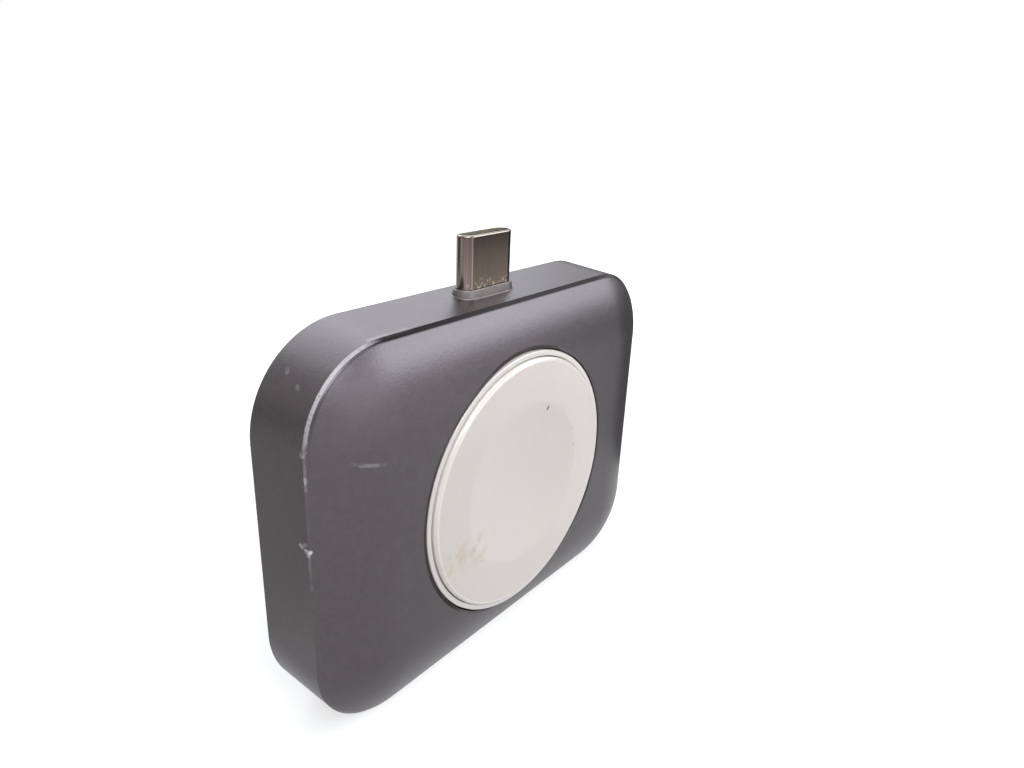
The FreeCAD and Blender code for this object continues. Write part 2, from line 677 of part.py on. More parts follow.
board_screws = new_body("board_screws")
board_heads = face_sketch(board_screws, f"{BOARD_BACK} - head_height")
for x, z in boss_places:
    draw_circle(board_heads, "(head_diameter / 2)", x, z)
pad(board_screws, board_heads, "head_height")
board_shanks = face_sketch(board_screws, BOARD_BACK)
for x, z in boss_places:
    draw_circle(board_shanks, "(screw_diameter / 2)", x, z)
pad(board_screws, board_shanks, "screw_length")

foam_pad = new_body("foam_pad")
foam_block = face_sketch(foam_pad, BOARD_FRONT, PUCK_HEIGHT)
draw_rectangle(foam_block, "-foam_side / 2", "foam_side / 2", "-foam_side / 2", "foam_side / 2")
pad(foam_pad, foam_block, f"{CUP_BACK} - {BOARD_FRONT}")


# Chips on the back of the board, coil and capacitors on its front beside the puck

def new_chip(label, side, x, z):
    """A flat square package on the back of the board, with its top edges bevelled."""
    chip = new_body(label)
    low = face_sketch(chip, f"{BOARD_BACK} - chip_height")
    half = f"({side} / 2 - chip_bevel)"
    draw_rectangle(low, f"({x} - {half})", f"({x} + {half})", f"({z} - {half})", f"({z} + {half})")
    pad(chip, low, "chip_height")
    body_of_chip = face_sketch(chip, f"{BOARD_BACK} - chip_height + chip_bevel")
    draw_rectangle(body_of_chip, f"({x} - {side} / 2)", f"({x} + {side} / 2)", f"({z} - {side} / 2)",
                   f"({z} + {side} / 2)")
    pad(chip, body_of_chip, "chip_height - chip_bevel")


new_chip("controller_chip", "controller_side", "0", PUCK_HEIGHT)
new_chip("driver_chip", "driver_side", "chip_spacing", PUCK_HEIGHT)
new_chip("supply_chip", "supply_side", "(-chip_spacing)", PUCK_HEIGHT)


def new_block_row(label, places, length, width, height, depth):
    """Like blocks soldered in one node: places are their centres, depth is their lower face."""
    blocks = new_body(label)
    outlines = face_sketch(blocks, depth)
    for x, z in places:
        draw_rectangle(outlines, f"({x} - {length} / 2)", f"({x} + {length} / 2)", f"({z} - {width} / 2)",
                       f"({z} + {width} / 2)")
    pad(blocks, outlines, height)
    return blocks


inductor = new_body("tank_inductor")
half_side = "(inductor_side / 2)"
cut_side = f"({half_side} - inductor_bevel)"
inductor_outline = new_sketch(inductor, "XZ_Plane", f"-{SIDE_PART_OFFSET}", PUCK_HEIGHT,
                              f"{BOARD_FRONT} - {WHOLE_DEPTH} / 2")
draw(inductor_outline, [
    (f"-{half_side}", f"-{cut_side}"), (f"-{cut_side}", f"-{half_side}"),
    (cut_side, f"-{half_side}"), (half_side, f"-{cut_side}"),
    (half_side, cut_side), (cut_side, half_side),
    (f"-{cut_side}", half_side), (f"-{half_side}", cut_side),
])
pad(inductor, inductor_outline, f"{SHOULDER} - inductor_clearance - {BOARD_FRONT}")

tank_places = [(SIDE_PART_OFFSET, f"({PUCK_HEIGHT} + {z})") for z in row_places(TANK_COUNT, "tank_pitch")]
new_block_row("tank_capacitors", tank_places, "tank_length", "tank_width", "tank_height", BOARD_FRONT)
capacitor_places = [(x, f"({PUCK_HEIGHT} - chip_spacing)")
                    for x in row_places(CAPACITOR_COUNT, "capacitor_pitch")]
new_block_row("chip_capacitors", capacitor_places, "capacitor_width", "capacitor_length",
              "capacitor_height", f"{BOARD_BACK} - capacitor_height")
resistor_places = [(x, f"({PUCK_HEIGHT} + chip_spacing)")
                   for x in row_places(RESISTOR_COUNT, "resistor_pitch")]
new_block_row("chip_resistors", resistor_places, "resistor_width", "resistor_length",
              "resistor_height", f"{BOARD_BACK} - resistor_height")
new_block_row("crystal", [("(-crystal_offset)", f"({PUCK_HEIGHT} + crystal_rise)")],
              "crystal_length", "crystal_width", "crystal_height", f"{BOARD_BACK} - crystal_height")


# Plug: drawn steel shell, its moulded housing, and two rows of contacts with the latch between them

usb_shell = new_body("usb_shell")
shell_tube = plan_sketch(usb_shell, SHELL_FOOT)
draw_full_round(shell_tube, "plug_width", "plug_thickness")
shell_pad = pad(usb_shell, shell_tube, "shell_length")
doc.recompute()
rim_edges = [f"Edge{index + 1}" for index, edge in enumerate(usb_shell.Shape.Edges)
             if edge.BoundBox.ZMin > number(PLUG_TIP) - number("plug_wall")]
rim_bevel = usb_shell.newObject("PartDesign::Chamfer", "rim_bevel")
rim_bevel.Base = (shell_pad, rim_edges)
rim_bevel.setExpression("Size", linked("plug_rim_chamfer"))
shell_bore = plan_sketch(usb_shell, PLUG_TIP)
draw_full_round(shell_bore, "plug_width - 2 * plug_wall", "plug_thickness - 2 * plug_wall")
pocket(usb_shell, shell_bore, "shell_length", forward=False)

usb_housing = new_body("usb_housing")
housing_outline = plan_sketch(usb_housing, f"{SHELL_FOOT} + insert_setback")
draw_full_round(housing_outline, "plug_width - 2 * plug_wall - 2 * plug_fit",
                "plug_thickness - 2 * plug_wall - 2 * plug_fit")
draw_rectangle(housing_outline, f"-{MOUTH_HALF_WIDTH}", MOUTH_HALF_WIDTH, f"-{MOUTH_HALF_HEIGHT}",
               MOUTH_HALF_HEIGHT)
pad(usb_housing, housing_outline, "shell_length - insert_setback - housing_setback")

usb_latch = new_body("usb_latch")
latch_outline = face_sketch(usb_latch, f"{PLUG_AXIS} - latch_thickness / 2")
arm_inner = f"({SLOT_INNER_HALF} - latch_arm_width)"
draw(latch_outline, [
    (f"-{SLOT_INNER_HALF}", f"({SHELL_FOOT} + insert_setback)"),
    (SLOT_INNER_HALF, f"({SHELL_FOOT} + insert_setback)"),
    (SLOT_INNER_HALF, f"({PLUG_TIP} - latch_setback)"),
    (arm_inner, f"({PLUG_TIP} - latch_setback)"),
    (arm_inner, MOUTH_FLOOR),
    (f"-{arm_inner}", MOUTH_FLOOR),
    (f"-{arm_inner}", f"({PLUG_TIP} - latch_setback)"),
    (f"-{SLOT_INNER_HALF}", f"({PLUG_TIP} - latch_setback)"),
])
pad(usb_latch, latch_outline, "latch_thickness")

carrier_thickness = "(board_thickness / 2 - latch_thickness / 2)"
for label, depth in (("contact_carrier_front", f"{PLUG_AXIS} + latch_thickness / 2"),
                     ("contact_carrier_back", BOARD_BACK)):
    carrier = new_body(label)
    carrier_outline = face_sketch(carrier, depth)
    draw_rectangle(carrier_outline, f"-{SLOT_INNER_HALF}", SLOT_INNER_HALF,
                   f"({SHELL_FOOT} + insert_setback)", MOUTH_FLOOR)
    pad(carrier, carrier_outline, carrier_thickness)

contact_foot = f"({SHELL_FOOT} - contact_tail)"
contact_tip = f"({PLUG_TIP} - contact_setback)"
bump_height = f"({contact_tip} - bump_length)"
for label, sign in (("usb_contacts_front", "-"), ("usb_contacts_back", "")):
    contacts = new_body(label)
    profile = side_sketch(contacts, across=f"-{CONTACT_HALF_SPAN}", depth=PLUG_AXIS)
    inner_face = f"({sign}board_thickness / 2)"
    outer_face = f"({sign}{MOUTH_HALF_HEIGHT})"
    bump_face = f"({sign}(board_thickness / 2 - contact_bump))"
    outline = [
        (inner_face, contact_foot),
        (outer_face, contact_foot),
        (outer_face, contact_tip),
        (inner_face, contact_tip),
        (bump_face, bump_height),
        (inner_face, f"({bump_height} - bump_length)"),
    ]
    draw(profile, outline)
    first_contact = pad(contacts, profile, "contact_width")
    row = contacts.newObject("PartDesign::LinearPattern", f"{label}_row")
    row.Originals = [first_contact]
    row.Direction = (profile, ["N_Axis"])
    row.setExpression("Length", linked(f"2 * {CONTACT_HALF_SPAN} - contact_width"))
    row.Occurrences = CONTACT_COUNT
    contacts.Tip = row

plug_collar = new_body("plug_collar")
collar_root = plan_sketch(plug_collar, COLLAR_SEAT)
draw_full_round(collar_root, COLLAR_WIDTH, COLLAR_THICKNESS)
pad(plug_collar, collar_root, f"{TOP_AT_PLUG} + collar_foot - {COLLAR_SEAT}")
collar_low = plan_sketch(plug_collar, f"{TOP_AT_PLUG} + collar_foot")
draw_full_round(collar_low, COLLAR_WIDTH, COLLAR_THICKNESS)
collar_high = plan_sketch(plug_collar, f"{TOP_AT_PLUG} + collar_height")
draw_full_round(collar_high, f"{COLLAR_WIDTH} - 2 * collar_taper", f"{COLLAR_THICKNESS} - 2 * collar_taper")
taper = plug_collar.newObject("PartDesign::AdditiveLoft", "collar_slope")
taper.Profile = collar_low
taper.Sections = [collar_high]
taper.Ruled = True
collar_bore = plan_sketch(plug_collar, COLLAR_SEAT)
draw_full_round(collar_bore, "plug_width + 2 * plug_fit", "plug_thickness + 2 * plug_fit")
pocket(plug_collar, collar_bore, f"{TOP_AT_PLUG} + collar_height - {COLLAR_SEAT}", forward=True)

plug_clamp = new_body("plug_clamp")
clamp_plate = face_sketch(plug_clamp, CLAMP_BACK, CLAMP_SCREW_HEIGHT)
clamp_half_width = f"({SADDLE_HALF_WIDTH} - clamp_margin)"
clamp_half_height = f"(({CAVITY_TOP} - {SADDLE_FOOT}) / 2 - clamp_margin / 2)"
draw_rectangle(clamp_plate, f"-{clamp_half_width}", clamp_half_width, f"-{clamp_half_height}",
               clamp_half_height)
for x in pair(CLAMP_SCREW_OFFSET):
    draw_circle(clamp_plate, "(clamp_screw_diameter / 2 + screw_clearance)", x)
pad(plug_clamp, clamp_plate, "clamp_thickness")

clamp_screws = new_body("clamp_screws")
for radius, depth, length in (("clamp_head_diameter / 2", f"{CLAMP_BACK} - clamp_head_height",
                               "clamp_head_height"),
                              ("clamp_screw_diameter / 2", CLAMP_BACK, "clamp_screw_length")):
    screw_stage = face_sketch(clamp_screws, depth, CLAMP_SCREW_HEIGHT)
    for x in pair(CLAMP_SCREW_OFFSET):
        draw_circle(screw_stage, f"({radius})", x)
    pad(clamp_screws, screw_stage, length)


# Check every object, then write each sub-part to a file of its own

doc.recompute()
for item in doc.Objects:
    if "Invalid" in item.State or "Error" in item.State:
        raise RuntimeError(f"{item.Name} did not compute: {item.State}")
os.makedirs("parts", exist_ok=True)
for body in sub_parts:
    if body.Shape.isNull() or not body.Shape.isValid() or not body.Shape.Solids:
        raise RuntimeError(f"{body.Label} has no valid solid")
for body in sub_parts:
    body.Shape.exportStep(f"parts/{body.Label}.step")
    print(f"{body.Label}: {len(body.Shape.Solids)} solids, {body.Shape.Volume:.2f} cubic mm")
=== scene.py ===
# Pocket charging dock for a smartwatch: the look of the blasted metal body, the white puck and the plug.
# x runs across the body, y from the charging face (minus) to the back (plus), and z up from the foot.
import math

import bpy
from mathutils import Matrix, Vector


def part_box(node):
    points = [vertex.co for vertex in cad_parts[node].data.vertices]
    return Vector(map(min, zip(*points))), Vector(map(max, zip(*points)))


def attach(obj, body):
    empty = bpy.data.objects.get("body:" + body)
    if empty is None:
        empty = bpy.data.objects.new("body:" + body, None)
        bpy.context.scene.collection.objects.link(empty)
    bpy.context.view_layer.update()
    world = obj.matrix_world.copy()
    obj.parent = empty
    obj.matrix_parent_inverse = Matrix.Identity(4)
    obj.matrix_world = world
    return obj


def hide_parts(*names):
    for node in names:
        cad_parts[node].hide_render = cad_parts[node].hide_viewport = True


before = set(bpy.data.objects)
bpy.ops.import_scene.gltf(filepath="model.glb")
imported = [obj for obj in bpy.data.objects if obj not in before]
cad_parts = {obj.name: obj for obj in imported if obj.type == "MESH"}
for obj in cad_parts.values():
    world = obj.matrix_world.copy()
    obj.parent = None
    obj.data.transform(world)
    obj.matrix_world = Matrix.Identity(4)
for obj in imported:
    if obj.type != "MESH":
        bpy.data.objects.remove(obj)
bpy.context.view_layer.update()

MM = 0.001


# Sizes in millimetres, read from the frame where it holds them

def node_box(name):
    """Lowest and highest corner of a CAD node, in millimetres."""
    low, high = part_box(name)
    return low / MM, high / MM


body_high = node_box("front_shell")[1]
ring_low, ring_high = node_box("puck_ring")
disc_low, disc_high = node_box("puck_cap")
plug_low, plug_high = node_box("usb_shell")
collar_low, collar_high = node_box("plug_collar")

PUCK_HEIGHT = (ring_low.z + ring_high.z) / 2
RING_RADIUS = ring_high.x
RING_WIDTH = 0.7
RING_ROUND = 0.15
# The disc's edge stands a little further out than its solid, so that the gap to the ring is a fine line
DISC_RADIUS = disc_high.x + 0.07
DISC_BEVEL = 0.3
DISC_ROUND = 0.32
DISH_RADIUS = 10.2
DISH_DEPTH = 0.9
DISH_BLEND = 0.6

PLUG_DEPTH = (plug_low.y + plug_high.y) / 2
PLUG_HALF_WIDTH = plug_high.x
PLUG_HALF_THICKNESS = (plug_high.y - plug_low.y) / 2
PLUG_WALL = 0.3
PLUG_LIP_OUTSIDE = 0.24
PLUG_LIP_INSIDE = 0.05

# The body's band leans in by its draft towards the front, where a chamfer joins it to the face
BAND_FRONT = -2.05
BAND_BACK = 5.35
BAND_DRAFT = 0.75
BAND_SLOPE = BAND_DRAFT / (BAND_BACK - BAND_FRONT)
CHAMFER = 0.4
TOP_AT_PLUG = body_high.z - BAND_DRAFT + BAND_SLOPE * (PLUG_DEPTH - BAND_FRONT)

# The collar's bore clears the shell by its fit, and its wall tapers from just under the band
COLLAR_FIT = 0.05
COLLAR_INSET = 0.01
COLLAR_SUNK = 0.3
COLLAR_TAPER = 0.2
COLLAR_ROUND = 0.08
# The fillet at its foot is a little lower than it is broad, and runs out under the band
FLARE = 0.09
FLARE_SQUASH = 0.9
FLARE_INSET = 0.05
FLARE_SUNK = 0.02


# Meshes

# An edge that turns by more than this many degrees stays sharp
SHARP_ABOVE = 35
TURNED_STEPS = 256
ROUND_END_STEPS = 48
BLEND_STEPS = 6
DISH_STEPS = 24
FLARE_STEPS = 8


def rounded(corners, steps=6):
    """A profile whose corners (across, along, round) are turned into arcs of that radius."""
    points = []
    for index, (across, along, radius) in enumerate(corners):
        here = Vector((across, along))
        if not radius:
            points.append(here)
            continue
        back = (Vector(corners[index - 1][:2]) - here).normalized()
        ahead = (Vector(corners[(index + 1) % len(corners)][:2]) - here).normalized()
        half_angle = back.angle(ahead) / 2
        reach = radius / math.tan(half_angle)
        centre = here + (back + ahead).normalized() * radius / math.sin(half_angle)
        start = here + back * reach - centre
        turn = start.angle_signed(here + ahead * reach - centre)
        for step in range(steps + 1):
            arm = start.copy()
            arm.rotate(Matrix.Rotation(-turn * step / steps, 2))
            points.append(centre + arm)
    return points


def skin(name, loops, closed):
    """A mesh through loops of equal length, in millimetres. A loop of one point closes an end."""
    vertices, faces, starts = [], [], []
    for loop in loops:
        starts.append(len(vertices))
        vertices += [Vector(point) * MM for point in loop]
    pairs = list(zip(range(len(loops) - 1), range(1, len(loops))))
    if closed:
        pairs.append((len(loops) - 1, 0))
    for one, two in pairs:
        count = max(len(loops[one]), len(loops[two]))
        for place in range(count):
            following = (place + 1) % count
            corners = [
                starts[one] + place % len(loops[one]),
                starts[one] + following % len(loops[one]),
                starts[two] + following % len(loops[two]),
                starts[two] + place % len(loops[two]),
            ]
            faces.append(list(dict.fromkeys(corners)))
    mesh = bpy.data.meshes.new(name)
    mesh.from_pydata(vertices, [], faces)
    mesh.validate()
    piece = bpy.data.objects.new(name, mesh)
    bpy.context.scene.collection.objects.link(piece)
    bpy.context.view_layer.objects.active = piece
    bpy.ops.object.mode_set(mode="EDIT")
    bpy.ops.mesh.select_all(action="SELECT")
    bpy.ops.mesh.normals_make_consistent(inside=False)
    bpy.ops.object.mode_set(mode="OBJECT")
    mesh.polygons.foreach_set("use_smooth", [True] * len(mesh.polygons))
    mesh.set_sharp_from_angle(angle=math.radians(SHARP_ABOVE))
    return piece


def turned(name, profile, closed):
    """A piece turned about the puck's axis from a profile of (radius, depth)."""
    loops = []
    for radius, depth in profile:
        steps = TURNED_STEPS if radius > 0 else 1
        angles = [2 * math.pi * step / steps for step in range(steps)]
        loops.append([(radius * math.cos(angle), depth, PUCK_HEIGHT + radius * math.sin(angle))
                      for angle in angles])
    return skin(name, loops, closed)


def round_ended(half_width, half_thickness, height, lean=0.0):
    """A loop with two half-round ends, seen from above. With lean it follows the slope of the band."""
    straight = half_width - half_thickness
    loop = []
    for side in (1, -1):
        for step in range(ROUND_END_STEPS + 1):
            angle = math.pi * (step / ROUND_END_STEPS - 0.5)
            along = side * (straight + half_thickness * math.cos(angle))
            across = side * half_thickness * math.sin(angle)
            loop.append((along, PLUG_DEPTH + across, height + lean * BAND_SLOPE * across))
    return loop


def own(piece, node, finish):
    """The piece stands for a CAD node, which it hides, rides with the root body and takes its finish."""
    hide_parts(node)
    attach(piece, "root")
    piece.data.materials.append(finish)


def make_puck_ring(finish):
    """Moulded ring with small rounds on both front edges."""
    bore = RING_RADIUS - RING_WIDTH
    profile = rounded([
        (bore, ring_high.y, 0),
        (RING_RADIUS, ring_high.y, 0),
        (RING_RADIUS, ring_low.y, RING_ROUND),
        (bore, ring_low.y, RING_ROUND),
    ])
    ring = turned("puck_ring_moulding", profile, closed=True)
    own(ring, "puck_ring", finish)


def make_puck_disc(finish):
    """Moulded disc: a soft bevelled edge, a flat border, and a shallow dish that a soft blend leads into."""
    border = rounded([
        (0, disc_high.y, 0),
        (DISC_RADIUS, disc_high.y, 0),
        (DISC_RADIUS, disc_low.y + DISC_BEVEL, DISC_ROUND / 2),
        (DISC_RADIUS - DISC_BEVEL, disc_low.y, DISC_ROUND),
        (DISH_RADIUS, disc_low.y, 0),
    ], steps=8)
    # The last corner only gives the border its direction, because the blend starts outside it
    profile = border[:-1]
    sphere = (DISH_RADIUS ** 2 + DISH_DEPTH ** 2) / (2 * DISH_DEPTH)
    centre_height = math.sqrt(sphere ** 2 - DISH_RADIUS ** 2)
    rim_slope = DISH_RADIUS / centre_height
    for step in range(BLEND_STEPS + 1):
        into = DISH_BLEND * step / BLEND_STEPS
        drop = rim_slope * into ** 2 / (2 * DISH_BLEND)
        profile.append(Vector((DISH_RADIUS + DISH_BLEND / 2 - into, disc_low.y + drop)))
    for step in range(1, DISH_STEPS + 1):
        radius = (DISH_RADIUS - DISH_BLEND / 2) * (1 - step / DISH_STEPS)
        drop = math.sqrt(sphere ** 2 - radius ** 2) - centre_height
        profile.append(Vector((radius, disc_low.y + drop)))
    disc = turned("puck_disc_moulding", profile, closed=False)
    own(disc, "puck_cap", finish)


def make_plug_shell(finish):
    """Drawn shell with full-round ends and a lip that rolls over at the mouth."""
    loops = []
    for out, height in rounded([
        (-PLUG_WALL, plug_low.z, 0),
        (0, plug_low.z, 0),
        (0, plug_high.z, PLUG_LIP_OUTSIDE),
        (-PLUG_WALL, plug_high.z, PLUG_LIP_INSIDE),
    ]):
        loops.append(round_ended(PLUG_HALF_WIDTH + out, PLUG_HALF_THICKNESS + out, height))
    shell = skin("plug_shell_drawn", loops, closed=True)
    own(shell, "usb_shell", finish)


def make_plug_collar(finish):
    """Oval collar: a sloping wall, a soft top edge, and a fillet that runs out on the slope of the band."""
    half_width, half_thickness = collar_high.x, (collar_high.y - collar_low.y) / 2
    bore = PLUG_HALF_WIDTH - half_width + COLLAR_FIT
    wall = [round_ended(half_width + out, half_thickness + out, height) for out, height in rounded([
        (bore, collar_low.z, 0),
        (-COLLAR_INSET, collar_low.z, 0),
        (-COLLAR_INSET, TOP_AT_PLUG - COLLAR_SUNK, 0),
        (-COLLAR_TAPER, collar_high.z, COLLAR_ROUND),
        (bore, collar_high.z, COLLAR_ROUND / 2),
    ])]
    flare = []
    for step in range(FLARE_STEPS + 1):
        angle = math.pi / 2 * step / FLARE_STEPS
        out = FLARE * (1 - math.sin(angle)) - FLARE_INSET
        rise = FLARE * (1 - math.cos(angle)) * FLARE_SQUASH - FLARE_SUNK
        flare.append(round_ended(half_width + out, half_thickness + out, TOP_AT_PLUG + rise, lean=1.0))
    # The fillet comes in after the wall's three sharp corners, which lie inside the body
    collar = skin("plug_collar_turned", wall[:3] + flare + wall[3:], closed=True)
    own(collar, "plug_collar", finish)


# Nodes and colours

def linear(hex_colour):
    """An sRGB hex value as linear red, green, blue and a full alpha."""
    parts = [int(hex_colour[place:place + 2], 16) / 255 for place in (1, 3, 5)]
    return (*(part / 12.92 if part <= 0.04045 else ((part + 0.055) / 1.055) ** 2.4 for part in parts), 1.0)


def feed(tree, node, sockets):
    """Gives each socket a constant, a hex colour, or a link from a node or a node's socket."""
    for socket, value in sockets.items():
        if isinstance(value, str):
            value = linear(value)
        if isinstance(value, bpy.types.Node):
            value = value.outputs[0]
        if isinstance(value, bpy.types.NodeSocket):
            tree.links.new(value, node.inputs[socket])
        else:
            node.inputs[socket].default_value = value


def add(tree, kind, sockets, **settings):
    """Adds a node with its settings, and feeds its sockets."""
    node = tree.nodes.new(kind)
    for name, value in settings.items():
        setattr(node, name, value)
    feed(tree, node, sockets)
    return node


def new_finish(name, roughness, metallic=0.0, ior=1.5):
    """A material with its shader. A metal keeps the default IOR."""
    material = bpy.data.materials.new(name)
    material.use_nodes = True
    tree = material.node_tree
    shader = tree.nodes["Principled BSDF"]
    feed(tree, shader, {"Metallic": metallic, "Roughness": roughness})
    if not metallic:
        feed(tree, shader, {"IOR": ior})
    return material, tree, shader


def in_millimetres(tree):
    """The point on the piece, in millimetres."""
    place = add(tree, "ShaderNodeTexCoord", {}).outputs["Object"]
    return add(tree, "ShaderNodeVectorMath", {0: place, 1: (1 / MM,) * 3}, operation="MULTIPLY")


def from_puck_axis(tree, place):
    """How far a point lies from the puck's axis, in millimetres."""
    offset = add(tree, "ShaderNodeVectorMath", {0: place, 1: (0, 0, PUCK_HEIGHT)}, operation="SUBTRACT")
    across = add(tree, "ShaderNodeVectorMath", {0: offset, 1: (1, 0, 1)}, operation="MULTIPLY")
    return add(tree, "ShaderNodeVectorMath", {0: across}, operation="LENGTH").outputs["Value"]


def grain(tree, place, size, detail=2.0, stretch=(1, 1, 1)):
    """Noise whose lumps are about size millimetres across, from 0 to 1."""
    stretched = add(tree, "ShaderNodeVectorMath", {0: place, 1: stretch}, operation="MULTIPLY")
    return add(tree, "ShaderNodeTexNoise", {"Vector": stretched, "Scale": 1 / size, "Detail": detail})


def folded(tree, operation, *masks):
    """Several masks in one: MAXIMUM keeps the strongest, and MULTIPLY keeps what they all show."""
    result = masks[0]
    for mask in masks[1:]:
        result = add(tree, "ShaderNodeMath", {0: result, 1: mask}, operation=operation)
    return result


def window(tree, value, low, high, edge):
    """1 where the value lies from low to high, falling to 0 over edge."""
    rise = add(tree, "ShaderNodeMapRange", {0: value, 1: low - edge, 2: low},
               interpolation_type="SMOOTHSTEP")
    fall = add(tree, "ShaderNodeMapRange", {0: value, 1: high, 2: high + edge, 3: 1.0, 4: 0.0},
               interpolation_type="SMOOTHSTEP")
    return folded(tree, "MULTIPLY", rise, fall)


# This share of a mark's half width is at full strength
MARK_CORE = 0.2


def worn_line(tree, place, ragged, raggedness, start, end, radius, strength):
    """A worn mark along a line from start to end, radius wide on each side, with a ragged edge."""
    run = Vector(end) - Vector(start)
    offset = add(tree, "ShaderNodeVectorMath", {0: place, 1: start}, operation="SUBTRACT")
    if run.length:
        along = add(tree, "ShaderNodeVectorMath", {0: offset, 1: tuple(run / run.length_squared)},
                    operation="DOT_PRODUCT")
        share = add(tree, "ShaderNodeMath", {0: along.outputs["Value"], 1: 1.0},
                    operation="MULTIPLY", use_clamp=True)
        foot = add(tree, "ShaderNodeVectorMath", {0: tuple(run), "Scale": share}, operation="SCALE")
        offset = add(tree, "ShaderNodeVectorMath", {0: offset, 1: foot}, operation="SUBTRACT")
    distance = add(tree, "ShaderNodeVectorMath", {0: offset}, operation="LENGTH").outputs["Value"]
    pushed = add(tree, "ShaderNodeMath", {0: ragged, 1: -raggedness, 2: distance},
                 operation="MULTIPLY_ADD")
    return add(tree, "ShaderNodeMapRange",
               {0: pushed, 1: radius, 2: radius * MARK_CORE, 3: 0.0, 4: strength},
               interpolation_type="SMOOTHSTEP")


def worn_lines(tree, place, ragged, raggedness, marks):
    """The strongest at each point of marks given as (start, end, radius, strength)."""
    return folded(tree, "MAXIMUM", *(worn_line(tree, place, ragged, raggedness, *mark) for mark in marks))


# Body

ANODISED_DARK = "#534f51"
ANODISED_LIGHT = "#575355"
COLLAR_DARK = "#6f6867"
COLLAR_LIGHT = "#78716f"
# A painted dark reflection on the cut chamfer
CHAMFER_PAINTED_REFLECTION = "#2f2c2e"
BARE_ALUMINIUM = "#c9c5c6"

# Roughness of the blasted skin, from cloud to cloud, and the depth of its pits in millimetres
SATIN_ROUGHNESS = (0.38, 0.42)
BLAST_RELIEF = 0.016
# Metal is worn away by this many times the depth of the blasting
WEAR_DEPTH = 1.9

# The cut chamfer lies between these depths, with how softly it ends. Its painted dark reflection grows over
# these heights, and is weaker towards the right corner and where the left one has been knocked, as a faint
# painted shadow line
CUT_DEPTHS = (BAND_FRONT - CHAMFER - 0.05, BAND_FRONT, 0.03)
CUT_HEIGHTS = (33.0, 39.0)
CUT_ACROSS = (18.0, 25.0)
CUT_SHARE_RIGHT = 0.2
CUT_SHARE_KNOCKED = 0.4
CUT_ROUGHNESS = 0.2

# The upper left corner has been knocked bright and dull along its chamfer. Depths and heights are from,
# to, and how softly they end
KNOCKED_DEPTHS = (-2.28, -2.04, 0.05)
KNOCKED_HEIGHTS = (36.2, 43.3, 0.7)
KNOCKED_ACROSS = (-19.2, -21.2)
KNOCKED_STRENGTH = (0.22, 0.4)
KNOCKED_ROUGHNESS = 0.6

# Worn marks: from, to, half width in millimetres, and how much bare metal shows
EDGE_SCUFFS = [
    ((-28.75, -2.1, 35.3), (-28.3, -2.12, 37.4), 0.17, 0.4),
    ((-28.88, -1.95, 34.7), (-28.85, -2.1, 35.0), 0.3, 0.3),
    ((-28.88, -2.12, 31.2), (-28.85, -2.12, 34.6), 0.09, 0.13),
    ((-28.88, -2.12, 31.9), (-28.87, -2.12, 32.4), 0.1, 0.4),
    ((-28.95, -2.1, 25.4), (-28.88, -2.12, 31.0), 0.08, 0.02),
    ((-29.0, -2.0, 20.2), (-29.0, -2.03, 23.8), 0.1, 0.1),
    ((-28.97, -2.4, 19.9), (-28.98, -2.15, 20.6), 0.1, 0.08),
    ((-20.6, -1.9, 43.7), (-15.5, -1.85, 43.71), 0.35, 0.1),
]
EDGE_CHIPS = [
    ((-29.05, -1.68, 24.52), (-28.93, -2.2, 24.55), 0.2, 0.8),
    ((-29.03, -1.8, 24.4), (-28.96, -2.1, 24.42), 0.2, 0.8),
    ((-29.02, -1.93, 24.3), (-29.0, -2.0, 24.1), 0.22, 0.8),
    ((-29.1, -1.0, 24.9), (-29.08, -1.2, 24.82), 0.24, 0.4),
    ((-29.07, -1.5, 25.1), (-29.07, -1.7, 25.2), 0.18, 0.2),
]
BAND_CHIPS = [
    ((-26.5, 3.05, 41.1), (-26.7, 2.8, 40.8), 0.2, 0.18),
    ((-27.12, 0.75, 40.15), (-27.22, 0.5, 39.95), 0.16, 0.14),
]
SCRATCHES = [
    ((-24.4, -4.54, 32.9), (-22.7, -4.99, 32.47), 0.14, 0.15),
    ((-25.2, -4.25, 33.25), (-21.9, -5.11, 32.25), 0.12, 0.05),
]

# A polished bevel runs round the hole that the puck sits in
HOLE_RADIUS = 16.55
HOLE_BEVEL = 0.36
HOLE_ROUGHNESS = 0.18


def blasted_skin(tree, place, dark, light):
    """The colour, roughness and pits of metal that has been blasted with fine beads and dyed."""
    # Beads leave pits of about 0.1 mm. They are drawn at 0.25 mm, so that they show
    pits = grain(tree, place, 0.25, detail=3.0)
    # The dye and the dullness vary a little, in clouds of about 0.8 mm
    clouds = grain(tree, place, 0.8, detail=5.0)
    tone = add(tree, "ShaderNodeMapRange", {0: clouds, 1: 0.3, 2: 0.7})
    colour = add(tree, "ShaderNodeMixRGB", {"Fac": tone, "Color1": dark, "Color2": light})
    roughness = add(tree, "ShaderNodeMapRange",
                    {0: clouds, 1: 0.3, 2: 0.7, 3: SATIN_ROUGHNESS[0], 4: SATIN_ROUGHNESS[1]})
    return colour, roughness, pits


def anodised_aluminium_collar():
    """Anodised aluminium, bead-blasted and dyed a warm mid grey: satin all over."""
    material, tree, shader = new_finish("anodised_aluminium_collar", SATIN_ROUGHNESS[1], metallic=1.0)
    place = in_millimetres(tree)
    colour, roughness, pits = blasted_skin(tree, place, COLLAR_DARK, COLLAR_LIGHT)
    relief = add(tree, "ShaderNodeBump", {"Strength": 1.0, "Distance": BLAST_RELIEF * MM, "Height": pits})
    feed(tree, shader, {"Base Color": colour, "Roughness": roughness, "Normal": relief})
    return material


